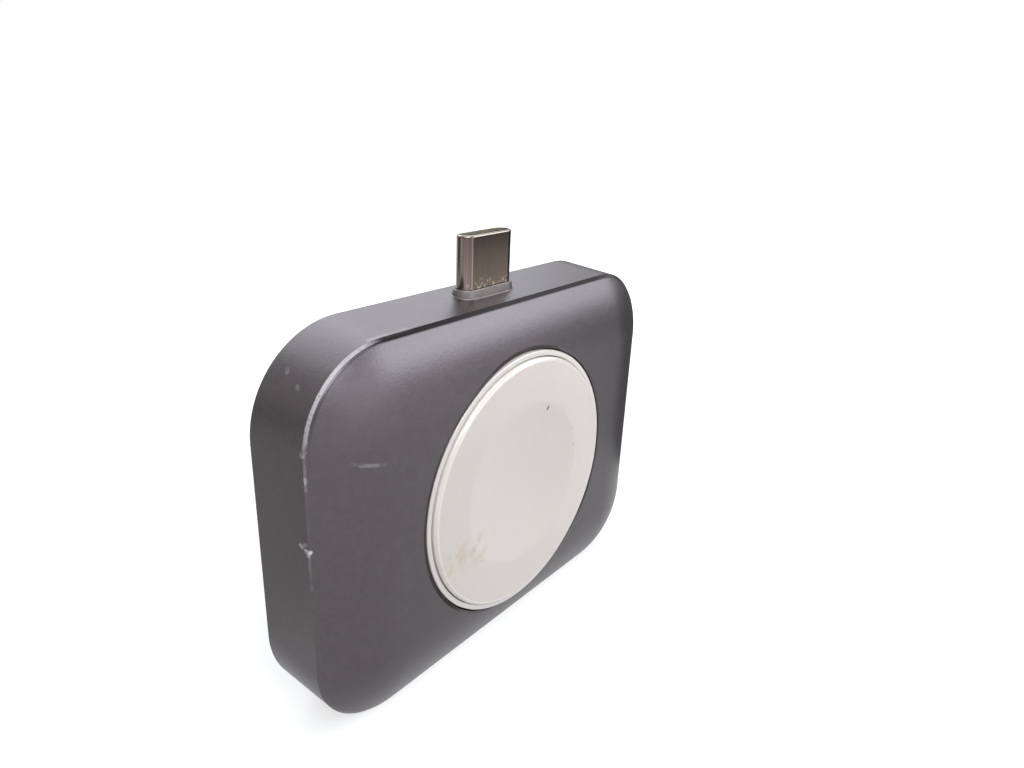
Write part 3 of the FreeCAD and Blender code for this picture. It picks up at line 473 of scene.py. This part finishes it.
def anodised_aluminium_worn():
    """Anodised aluminium, fine bead-blasted and dyed a warm dark grey: satin all over, with a cut and
    polished chamfer whose sharp dark line is a painted reflection. Knocked corners show bright bare metal."""
    material, tree, shader = new_finish("anodised_aluminium_worn", SATIN_ROUGHNESS[1], metallic=1.0)
    place = in_millimetres(tree)
    colour, roughness, pits = blasted_skin(tree, place, ANODISED_DARK, ANODISED_LIGHT)
    parts = add(tree, "ShaderNodeSeparateXYZ", {0: place})
    ragged = grain(tree, place, 0.35, detail=3.0)

    # High up the cut chamfer is painted dark, as a painted reflection of dark surroundings that fades lower
    # down
    chamfer = window(tree, parts.outputs["Y"], *CUT_DEPTHS)
    upper = add(tree, "ShaderNodeMapRange", {0: parts.outputs["Z"], 1: CUT_HEIGHTS[0], 2: CUT_HEIGHTS[1]})
    left = add(tree, "ShaderNodeMapRange",
               {0: parts.outputs["X"], 1: KNOCKED_ACROSS[0], 2: KNOCKED_ACROSS[1]})
    unknocked = add(tree, "ShaderNodeMapRange", {0: left, 3: 1.0, 4: CUT_SHARE_KNOCKED})
    weaker = add(tree, "ShaderNodeMapRange",
                 {0: parts.outputs["X"], 1: CUT_ACROSS[0], 2: CUT_ACROSS[1], 3: 1.0, 4: CUT_SHARE_RIGHT})
    cut = folded(tree, "MULTIPLY", unknocked, chamfer, upper, weaker)
    colour = add(tree, "ShaderNodeMixRGB", {"Fac": cut, "Color1": colour, "Color2": CHAMFER_PAINTED_REFLECTION})
    roughness = add(tree, "ShaderNodeMix", {0: cut, 2: roughness, 3: CUT_ROUGHNESS})
    height = add(tree, "ShaderNodeMix", {0: cut, 2: pits, 3: 0.5})

    # The knocked corner and the marks show bare metal in patches, and lie lower than the skin
    deep = window(tree, parts.outputs["Y"], *KNOCKED_DEPTHS)
    tall = window(tree, parts.outputs["Z"], *KNOCKED_HEIGHTS)
    worn_through = add(tree, "ShaderNodeMapRange",
                       {0: ragged, 1: 0.35, 2: 0.6, 3: KNOCKED_STRENGTH[0], 4: KNOCKED_STRENGTH[1]})
    knocked = folded(tree, "MULTIPLY", deep, tall, left, worn_through)
    dulled = add(tree, "ShaderNodeMapRange", {0: knocked, 2: KNOCKED_STRENGTH[1]})
    roughness = add(tree, "ShaderNodeMix", {0: dulled, 2: roughness, 3: KNOCKED_ROUGHNESS})
    marks = worn_lines(tree, place, ragged, 0.2, EDGE_SCUFFS + EDGE_CHIPS + BAND_CHIPS + SCRATCHES)
    patches = grain(tree, place, 0.9)
    broken = add(tree, "ShaderNodeMapRange", {0: patches, 1: 0.35, 2: 0.55, 3: 0.35, 4: 1.0})
    wear = folded(tree, "MAXIMUM", folded(tree, "MULTIPLY", marks, broken), knocked)
    colour = add(tree, "ShaderNodeMixRGB", {"Fac": wear, "Color1": colour, "Color2": BARE_ALUMINIUM})
    height = add(tree, "ShaderNodeMath", {0: wear, 1: -WEAR_DEPTH, 2: height}, operation="MULTIPLY_ADD")
    relief = add(tree, "ShaderNodeBump", {"Strength": 1.0, "Distance": BLAST_RELIEF * MM, "Height": height})

    radius = from_puck_axis(tree, place)
    rim = HOLE_RADIUS + HOLE_BEVEL
    bevel = add(tree, "ShaderNodeMapRange", {0: radius, 1: HOLE_RADIUS, 2: rim})
    relief = add(tree, "ShaderNodeBump",
                 {"Strength": 1.0, "Distance": HOLE_BEVEL * MM, "Height": bevel, "Normal": relief})
    on_bevel = add(tree, "ShaderNodeMath", {0: radius, 1: rim}, operation="LESS_THAN")
    roughness = add(tree, "ShaderNodeMix", {0: on_bevel, 2: roughness, 3: HOLE_ROUGHNESS})
    feed(tree, shader, {"Base Color": colour, "Roughness": roughness, "Normal": relief})
    return material


def moulded_abs(name, one, two, roughness=0.5):
    """ABS, or nylon, moulded in a spark-eroded tool: an even matt skin with a fine regular grain."""
    material, tree, shader = new_finish(name, roughness, ior=1.53)
    # The grain of about 0.1 mm is drawn at 0.4 mm, so that it shows
    lumps = grain(tree, in_millimetres(tree), 0.4)
    colour = add(tree, "ShaderNodeMixRGB", {"Fac": lumps, "Color1": one, "Color2": two})
    relief = add(tree, "ShaderNodeBump", {"Strength": 0.8, "Distance": 0.03 * MM, "Height": lumps})
    feed(tree, shader, {"Base Color": colour, "Normal": relief})
    return material


# Puck

PUCK_WHITE = "#c3b8af"
PUCK_WHITE_SHADE = "#bfb4ab"
# A painted highlight along the disc's bevelled edge
EDGE_PAINTED_HIGHLIGHT = "#d3ccc2"
RING_WHITE = "#cac6c1"
HANDLING_BROWN = "#b3a084"
MARK_GREY = "#a39d98"
SPECK_BLACK = "#1c1a1a"

# Dirt on the disc: from, to, half width in millimetres, and how dark it is. The smear lies in patches
SMEAR = ((-12.6, -5.75, 16.7), (-8.6, -5.72, 16.6), 2.2, 0.6)
SPOTS = [
    ((-12.25, -5.75, 17.4), (-12.25, -5.75, 17.4), 0.16, 0.6),
    ((-9.6, -5.75, 17.2), (-9.3, -5.75, 16.6), 0.22, 0.4),
    ((-8.0, -5.7, 14.6), (-7.8, -5.7, 14.5), 0.2, 0.35),
    ((9.44, -5.75, 25.99), (9.44, -5.75, 25.9), 0.17, 0.35),
    ((9.81, -5.71, 23.42), (9.95, -5.71, 23.3), 0.2, 0.5),
    ((11.69, -5.75, 21.0), (11.8, -5.75, 20.5), 0.22, 0.15),
]
SPECK = ((3.7, -5.62, 30.25), (3.85, -5.62, 30.5), 0.24, 1.0)


def moulded_polycarbonate(name, one, two, marked):
    """Polycarbonate moulded in a fine-ground tool: warm white, half matt, with a soft sheen at its edges.
    On the disc the bevelled edge also carries a painted highlight.
    """
    material, tree, shader = new_finish(name, 0.2, ior=1.58)
    feed(tree, shader, {
        "Coat Weight": 0.7,
        "Coat Roughness": 0.1,
        "Subsurface Weight": 0.25,
        "Subsurface Radius": (1.0, 0.9, 0.8),
        "Subsurface Scale": 0.5 * MM,
    })
    place = in_millimetres(tree)
    # The white varies a little, in clouds of about 7 mm
    clouds = grain(tree, place, 7.0)
    colour = add(tree, "ShaderNodeMixRGB", {"Fac": clouds, "Color1": one, "Color2": two})
    if marked:
        # The bevelled edge is painted paler all round, as a painted highlight
        radius = from_puck_axis(tree, place)
        edge = window(tree, radius, DISC_RADIUS - DISC_BEVEL - 0.1, DISC_RADIUS, 0.1)
        ragged = grain(tree, place, 1.5, detail=4.0)
        patches = add(tree, "ShaderNodeMapRange", {0: ragged, 1: 0.42, 2: 0.68})
        smear = folded(tree, "MULTIPLY", worn_line(tree, place, ragged, 0.8, *SMEAR), patches)
        spots = worn_lines(tree, place, ragged, 0.1, SPOTS)
        speck = worn_line(tree, place, ragged, 0.05, *SPECK)
        for mask, over in ((edge, EDGE_PAINTED_HIGHLIGHT), (smear, HANDLING_BROWN),
                           (spots, MARK_GREY), (speck, SPECK_BLACK)):
            colour = add(tree, "ShaderNodeMixRGB", {"Fac": mask, "Color1": colour, "Color2": over})
    # Ground tool marks of about 0.05 mm, drawn at 0.3 mm, so that they show
    tool_marks = grain(tree, place, 0.3)
    relief = add(tree, "ShaderNodeBump", {"Strength": 0.05, "Distance": 0.02 * MM, "Height": tool_marks})
    feed(tree, shader, {"Base Color": colour, "Normal": relief})
    return material


# Plug

NICKEL_TIP = "#39322e"
NICKEL_FOOT = "#5a5048"
# The rounded ends' painted reflection and the corner's painted highlight
NICKEL_END_PAINTED_REFLECTION = "#6b5e5b"
NICKEL_CORNER_PAINTED_HIGHLIGHT = "#b3a79e"
NICKEL_SCUFF = "#8f8378"
# Painted light inside the plug's mouth
NICKEL_INSIDE_PAINTED_LIGHT = "#7c7869"
NICKEL_LIP = "#857b73"
# How far from the middle the flat front turns into the rounded end
CORNER_LINE = (3.2, 3.26)
CORNER_EDGE = 0.08
# How strong the corner's painted highlight is
CORNER_HIGHLIGHT_STRENGTH = 0.3
# How far under the mouth the lip's rubbed tone starts and is full, and the end's painted reflection fades
# and is gone
LIP_BELOW = (0.22, 0.1)
END_BELOW = (0.3, 0.2)
# The foot's scuffs thin out between these heights
SCUFFS_FULL = TOP_AT_PLUG + 1.0
SCUFFS_TOP = 46.4
# Nearer to the middle than this, a point of the shell faces its mouth's inside
INNER_HALF = 0.95


def drawn_nickel_steel(name):
    """Nickel-plated steel, deep-drawn: faint lines run along the draw, and it grows darker towards the
    mouth.
    Each push into a socket has scuffed its foot."""
    material, tree, shader = new_finish(name, 0.14, metallic=1.0)
    place = in_millimetres(tree)
    parts = add(tree, "ShaderNodeSeparateXYZ", {0: place})
    height = parts.outputs["Z"]
    off_centre = add(tree, "ShaderNodeMath", {0: parts.outputs["X"]}, operation="ABSOLUTE")
    rise = add(tree, "ShaderNodeMapRange", {0: height, 1: TOP_AT_PLUG, 2: plug_high.z})
    colour = add(tree, "ShaderNodeMixRGB", {"Fac": rise, "Color1": NICKEL_FOOT, "Color2": NICKEL_TIP})

    # The rounded ends are lighter than the flats as painted reflection, and the corner has a painted
    # highlight
    past_corner = add(tree, "ShaderNodeMapRange", {0: off_centre, 1: CORNER_LINE[0], 2: CORNER_LINE[1]})
    below_lip = add(tree, "ShaderNodeMapRange", {
        0: height, 1: plug_high.z - END_BELOW[0], 2: plug_high.z - END_BELOW[1], 3: 1.0, 4: 0.0})
    painted_end_reflection = folded(tree, "MULTIPLY", past_corner, below_lip)
    corner = window(tree, off_centre, *CORNER_LINE, CORNER_EDGE)
    corner = folded(tree, "MULTIPLY", corner, CORNER_HIGHLIGHT_STRENGTH)
    for mask, over in ((painted_end_reflection, NICKEL_END_PAINTED_REFLECTION), (corner, NICKEL_CORNER_PAINTED_HIGHLIGHT)):
        colour = add(tree, "ShaderNodeMixRGB", {"Fac": mask, "Color1": colour, "Color2": over})

    # Draw lines of about 0.1 mm, drawn at 0.4 mm, so that they show. They are stronger on the ends, as
    # painted reflection
    lines = grain(tree, place, 0.4, stretch=(1, 1, 0.03))
    darkest = add(tree, "ShaderNodeMapRange", {0: painted_end_reflection, 3: 0.93, 4: 0.6})
    brightest = add(tree, "ShaderNodeMapRange", {0: painted_end_reflection, 3: 1.06, 4: 1.4})
    streaks = add(tree, "ShaderNodeMapRange", {0: lines, 1: 0.3, 2: 0.7, 3: darkest, 4: brightest})
    colour = add(tree, "ShaderNodeVectorMath", {0: colour, "Scale": streaks}, operation="SCALE")

    near_foot = add(tree, "ShaderNodeMapRange", {0: height, 1: SCUFFS_TOP, 2: SCUFFS_FULL})
    flecks = add(tree, "ShaderNodeMapRange", {0: grain(tree, place, 0.35, detail=4.0), 1: 0.53, 2: 0.65})
    scuffs = folded(tree, "MULTIPLY", near_foot, flecks)
    # The lip that rolls over at the mouth is rubbed bright
    lip = add(tree, "ShaderNodeMapRange",
              {0: height, 1: plug_high.z - LIP_BELOW[0], 2: plug_high.z - LIP_BELOW[1]})
    # Inside its mouth the plating was never polished, so it is rougher, and it is painted paler as painted
    # light
    flat_half = PLUG_HALF_WIDTH - PLUG_HALF_THICKNESS
    past_flat = add(tree, "ShaderNodeMath", {0: off_centre, 1: flat_half}, operation="SUBTRACT")
    past_flat = add(tree, "ShaderNodeMath", {0: past_flat, 1: 0.0}, operation="MAXIMUM")
    across = add(tree, "ShaderNodeMath", {0: parts.outputs["Y"], 1: PLUG_DEPTH}, operation="SUBTRACT")
    from_core = add(tree, "ShaderNodeCombineXYZ", {0: past_flat, 1: across})
    from_core = add(tree, "ShaderNodeVectorMath", {0: from_core}, operation="LENGTH").outputs["Value"]
    inside = add(tree, "ShaderNodeMath", {0: from_core, 1: INNER_HALF}, operation="LESS_THAN")
    for mask, over in ((scuffs, NICKEL_SCUFF), (lip, NICKEL_LIP), (inside, NICKEL_INSIDE_PAINTED_LIGHT)):
        colour = add(tree, "ShaderNodeMixRGB", {"Fac": mask, "Color1": colour, "Color2": over})

    roughness = add(tree, "ShaderNodeMapRange", {0: lines, 3: 0.1, 4: 0.18})
    roughness = add(tree, "ShaderNodeMix", {0: inside, 2: roughness, 3: 0.5})
    relief = add(tree, "ShaderNodeBump", {"Strength": 0.06, "Distance": 0.02 * MM, "Height": lines})
    feed(tree, shader, {"Base Color": colour, "Roughness": roughness, "Normal": relief})
    return material


# Inside

WIRE_PITCH = 0.4


def plated_metal(name, one, two, roughness):
    """Plated or rolled metal inside the dock: bright, with faint handling clouds of about 0.4 mm."""
    material, tree, shader = new_finish(name, roughness, metallic=1.0)
    clouds = grain(tree, in_millimetres(tree), 0.4, detail=3.0)
    colour = add(tree, "ShaderNodeMixRGB", {"Fac": clouds, "Color1": one, "Color2": two})
    soft = add(tree, "ShaderNodeMapRange", {0: clouds, 3: roughness * 0.8, 4: roughness * 1.2})
    feed(tree, shader, {"Base Color": colour, "Roughness": soft})
    return material


def wound_copper(name):
    """Enamelled copper wire wound flat: fine rings of orange metal, one for each turn."""
    material, tree, shader = new_finish(name, 0.35, metallic=1.0)
    radius = from_puck_axis(tree, in_millimetres(tree))
    phase = add(tree, "ShaderNodeMath", {0: radius, 1: 2 * math.pi / WIRE_PITCH}, operation="MULTIPLY")
    turns = add(tree, "ShaderNodeMath", {0: phase}, operation="SINE")
    crown = add(tree, "ShaderNodeMapRange", {0: turns, 1: -1.0, 2: 1.0})
    # The valleys between turns are painted darker than the crowns, as painted shade
    colour = add(tree, "ShaderNodeMixRGB", {"Fac": crown, "Color1": "#6e3a1c", "Color2": "#c8743c"})
    relief = add(tree, "ShaderNodeBump", {"Strength": 0.5, "Distance": 0.1 * MM, "Height": crown})
    feed(tree, shader, {"Base Color": colour, "Normal": relief})
    return material


def glass_laminate(name):
    """Glass-fibre board under green solder mask: the weave shows faintly through a glossy skin."""
    material, tree, shader = new_finish(name, 0.3, ior=1.55)
    place = in_millimetres(tree)
    # Glass cloth with a thread about each 0.6 mm, which is what a wave of scale 0.5 draws
    threads = [add(tree, "ShaderNodeTexWave", {"Vector": place, "Scale": 0.5, "Distortion": 0.4},
                   bands_direction=direction).outputs["Fac"] for direction in "XZ"]
    cloth = folded(tree, "MULTIPLY", *threads)
    colour = add(tree, "ShaderNodeMixRGB", {"Fac": cloth, "Color1": "#12452c", "Color2": "#1b5a3a"})
    relief = add(tree, "ShaderNodeBump", {"Strength": 0.1, "Distance": 0.02 * MM, "Height": cloth})
    feed(tree, shader, {"Base Color": colour, "Normal": relief})
    return material


def plain_bulk(name, one, two, roughness, lump, strength):
    """Pressed, cast or foamed stock inside the dock, with lumps of its own grain."""
    material, tree, shader = new_finish(name, roughness)
    lumps = grain(tree, in_millimetres(tree), lump, detail=4.0)
    colour = add(tree, "ShaderNodeMixRGB", {"Fac": lumps, "Color1": one, "Color2": two})
    relief = add(tree, "ShaderNodeBump", {"Strength": strength, "Distance": 0.05 * MM, "Height": lumps})
    feed(tree, shader, {"Base Color": colour, "Normal": relief})
    return material


finishes = {
    "body_metal": anodised_aluminium_worn(),
    "cover_plastic": moulded_abs("moulded_abs_dark_grey", "#39363a", "#454246"),
    "glue": plain_bulk("acrylic_glue", "#c9c6bb", "#b9b5a8", 0.45, 0.8, 0.2),
    "puck_plastic": moulded_abs("moulded_abs_white", "#dad6d2", "#d3cfcb"),
    "puck_ring_plastic": moulded_polycarbonate(
        "moulded_polycarbonate_ring", RING_WHITE, PUCK_WHITE, marked=False),
    "puck_cap_plastic": moulded_polycarbonate(
        "moulded_polycarbonate_disc", PUCK_WHITE, PUCK_WHITE_SHADE, marked=True),
    "bright_steel": plated_metal("zinc_plated_steel", "#b9bcbf", "#a4a7ab", 0.32),
    "ferrite": plain_bulk("pressed_ferrite", "#2a2826", "#35322f", 0.7, 0.25, 0.4),
    "magnet_plating": plated_metal("nickel_plated_magnet", "#b8b2a6", "#a29c91", 0.22),
    "copper_wire": wound_copper("wound_copper"),
    "foam": plain_bulk("cell_foam", "#3a3a3c", "#242426", 0.9, 0.35, 0.8),
    "board_laminate": glass_laminate("glass_laminate"),
    "chip_resin": plain_bulk("cast_epoxy_resin", "#1d1d1f", "#262628", 0.55, 0.2, 0.2),
    "capacitor_ceramic": plain_bulk("fired_ceramic_tan", "#a8845c", "#96744e", 0.5, 0.2, 0.2),
    "resistor_ceramic": plain_bulk("glazed_ceramic_black", "#1b1b1e", "#2a2a2e", 0.35, 0.2, 0.1),
    "plug_nickel": drawn_nickel_steel("drawn_nickel_plated_steel"),
    "plug_moulding": moulded_abs("moulded_nylon_black", "#151516", "#1d1d1e", roughness=0.45),
    "contact_gold": plated_metal("gold_plated_bronze", "#d9ab58", "#c89a4b", 0.25),
}


# Every CAD node takes the finish of its slot, and the drawn and moulded pieces stand for theirs

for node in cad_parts.values():
    held = node.material_slots[0]
    finish = finishes[held.material.name.split(".")[0]]
    held.link = "OBJECT"
    held.material = finish

make_puck_ring(finishes["puck_ring_plastic"])
make_puck_disc(finishes["puck_cap_plastic"])
make_plug_shell(finishes["plug_nickel"])
make_plug_collar(anodised_aluminium_collar())


# Floor, surround, cards, lamps and camera

PLAIN_WHITE = (1, 1, 1, 1)
# The floor's half width is in metres, and it lies a hair under the foot
FLOOR_HALF = 3.0
FLOOR_DROP = 0.02
FLOOR_PALE = "#b4b2b0"
FLOOR_SHADE = "#afadab"
# Near the dock the floor lets its shadow show, and further off it runs out into white
FLOOR_LIFT = (0.6, 1.0)
SHADOW_REACH = (60.0, 170.0)
# How bright the surround is as light on the dock, where it looks 1 to the camera
SURROUND_LIGHT = 0.06


def heading(turn, rise):
    """The way from the dock to a place turned from the face's front and raised, both in degrees."""
    turn, rise = math.radians(turn), math.radians(rise)
    return Vector((math.sin(turn) * math.cos(rise), -math.cos(turn) * math.cos(rise), math.sin(rise)))


def stage_sheet(name, paper, corners, faces):
    """A flat or folded sheet of the stage, with a material that is still empty."""
    mesh = bpy.data.meshes.new(name)
    mesh.from_pydata(corners, [], faces)
    sheet = bpy.data.objects.new(name, mesh)
    bpy.context.scene.collection.objects.link(sheet)
    material = bpy.data.materials.new(paper)
    material.use_nodes = True
    material.node_tree.nodes.clear()
    mesh.materials.append(material)
    return sheet, material.node_tree


def seen_directly(tree):
    """1 for what is seen by the camera, in gloss and through glass, and 0 for light that falls on things."""
    ray = add(tree, "ShaderNodeLightPath", {})
    kinds = [ray.outputs[name] for name in ("Is Camera Ray", "Is Glossy Ray", "Is Transmission Ray")]
    return folded(tree, "MAXIMUM", *kinds)


def make_floor():
    """Pale matt floor that shows white to the camera and in gloss, and keeps the dock's shadow."""
    corners = [(x * FLOOR_HALF, y * FLOOR_HALF, 0) for x, y in ((-1, -1), (1, -1), (1, 1), (-1, 1))]
    floor, tree = stage_sheet("floor", "pale_card", corners, [(0, 1, 2, 3)])
    floor.location.z = -FLOOR_DROP * MM
    place = in_millimetres(tree)
    # The card's fibres lie in clouds of about 2 mm
    fibres = grain(tree, place, 2.0)
    card = add(tree, "ShaderNodeMixRGB", {"Fac": fibres, "Color1": FLOOR_PALE, "Color2": FLOOR_SHADE})
    matt = add(tree, "ShaderNodeBsdfDiffuse", {"Color": card})
    reach = add(tree, "ShaderNodeVectorMath", {0: place}, operation="LENGTH").outputs["Value"]
    lift = add(tree, "ShaderNodeMapRange",
               {0: reach, 1: SHADOW_REACH[0], 2: SHADOW_REACH[1], 3: FLOOR_LIFT[0], 4: FLOOR_LIFT[1]})
    lift = folded(tree, "MULTIPLY", seen_directly(tree), lift)
    glow = add(tree, "ShaderNodeEmission", {"Color": PLAIN_WHITE, "Strength": lift})
    both = add(tree, "ShaderNodeAddShader", {0: matt, 1: glow})
    add(tree, "ShaderNodeOutputMaterial", {"Surface": both})


def make_surround():
    """White all round for the camera and for gloss, and a plain level of light on everything else."""
    world = bpy.data.worlds.new("studio")
    bpy.context.scene.world = world
    world.use_nodes = True
    tree = world.node_tree
    tree.nodes.clear()
    strength = add(tree, "ShaderNodeMapRange", {0: seen_directly(tree), 3: SURROUND_LIGHT, 4: 1.0})
    white = add(tree, "ShaderNodeBackground", {"Color": PLAIN_WHITE, "Strength": strength})
    add(tree, "ShaderNodeOutputWorld", {"Surface": white})


# How far a card lies over the floor, in millimetres
CARD_LIFT = 0.5
# Grey cards that only gloss can see: turned from straight in front of the face and how broad, both in
# degrees, from where to where they lie and how high they fold up, all in metres, and how pale they are
GREY_CARDS = {
    "right_card": (97, 60, 0.06, 0.45, 0.13, 0.15),
    "right_front_card": (64, 15, 0.18, 0.45, 0.13, 0.0),
    "left_floor_card": (-132, 80, 0.05, 0.3, 0.001, 0.86),
    "left_back_card": (-138, 36, 0.31, 0.45, 0.10, 0.3),
}


def stand_card(name, turn, breadth, nearest, farthest, height, grey):
    """A grey card that lies just over the floor and folds up at its far end."""
    corners = []
    for reach, rise in ((nearest, CARD_LIFT * MM), (farthest, CARD_LIFT * MM), (farthest, height)):
        for side in (-breadth / 2, breadth / 2):
            corners.append(heading(turn + side, 0) * reach + Vector((0, 0, rise)))
    card, tree = stage_sheet(name, "grey_card", corners, [(0, 1, 3, 2), (2, 3, 5, 4)])
    glow = add(tree, "ShaderNodeEmission", {"Color": PLAIN_WHITE, "Strength": grey})
    add(tree, "ShaderNodeOutputMaterial", {"Surface": glow})
    for ray in ("camera", "diffuse", "shadow", "transmission", "volume_scatter"):
        setattr(card, "visible_" + ray, False)


# The lamps hang this many metres from the middle of the dock, and are a little cooler than white
DOCK_MIDDLE = Vector((0, 0, 24)) * MM
LAMP_REACH = 0.5
LAMP_COLOUR = "#f2f8ff"
# Soft lamps: turned from straight in front of the face, raised above the floor, how broad and how tall
# they look from the dock, all in degrees, and how many times white each one looks
LAMPS = {
    "front_softbox": (6, 18, 44, 30, 1.5),
    "left_softbox": (-70, 40, 22, 18, 4.5),
    "right_softbox": (48, 29, 32, 24, 7.6),
    "high_softbox": (-34, 45, 32, 22, 8.2),
    "top_softbox": (0, 76, 34, 30, 3.8),
    "back_softbox": (157, 42, 64, 26, 3.8),
}


def hang_softbox(name, turn, rise, across, tall, brightness):
    """A soft lamp that faces the middle of the dock."""
    arm = heading(turn, rise)
    lamp = bpy.data.lights.new(name, "AREA")
    lamp.color = linear(LAMP_COLOUR)[:3]
    lamp.shape = "RECTANGLE"
    lamp.size = 2 * LAMP_REACH * math.tan(math.radians(across / 2))
    lamp.size_y = 2 * LAMP_REACH * math.tan(math.radians(tall / 2))
    lamp.energy = brightness * math.pi * lamp.size * lamp.size_y
    holder = bpy.data.objects.new(name, lamp)
    holder.location = DOCK_MIDDLE + arm * LAMP_REACH
    holder.rotation_euler = (-arm).to_track_quat("-Z", "Y").to_euler()
    bpy.context.scene.collection.objects.link(holder)


# The camera's place in millimetres and its angles in degrees, fitted to the photograph's outline
CAMERA_PLACE = Vector((-61.80, -50.89, 64.46))
CAMERA_TURN = -48.20
CAMERA_RISE = 20.17
CAMERA_ROLL = -1.10
PICTURE_WIDTH = 1024
PICTURE_HEIGHT = 768
FOCAL_PIXELS = 712.6
AXIS_PIXEL = (466.3, 367.0)
SENSOR = 36.0


def make_camera():
    """The photograph's view: from the left of the charging face and above it, close and wide."""
    back = heading(CAMERA_TURN, CAMERA_RISE)
    level = Vector((0, 0, 1)).cross(back).normalized()
    upright = back.cross(level)
    roll = math.radians(CAMERA_ROLL)
    right = math.cos(roll) * level - math.sin(roll) * upright
    up = math.sin(roll) * level + math.cos(roll) * upright
    lens = bpy.data.cameras.new("photo_view")
    lens.sensor_width = SENSOR
    lens.lens = FOCAL_PIXELS / PICTURE_WIDTH * SENSOR
    lens.shift_x = (PICTURE_WIDTH / 2 - AXIS_PIXEL[0]) / PICTURE_WIDTH
    lens.shift_y = (AXIS_PIXEL[1] - PICTURE_HEIGHT / 2) / PICTURE_WIDTH
    lens.clip_start = MM
    camera = bpy.data.objects.new("photo_view", lens)
    facing = Matrix((right, up, back)).transposed().to_4x4()
    camera.matrix_world = Matrix.Translation(CAMERA_PLACE * MM) @ facing
    bpy.context.scene.collection.objects.link(camera)
    bpy.context.scene.camera = camera


make_floor()
make_surround()
for name, measures in GREY_CARDS.items():
    stand_card(name, *measures)
for name, measures in LAMPS.items():
    hang_softbox(name, *measures)
make_camera()
bpy.context.scene.view_settings.view_transform = "Standard"
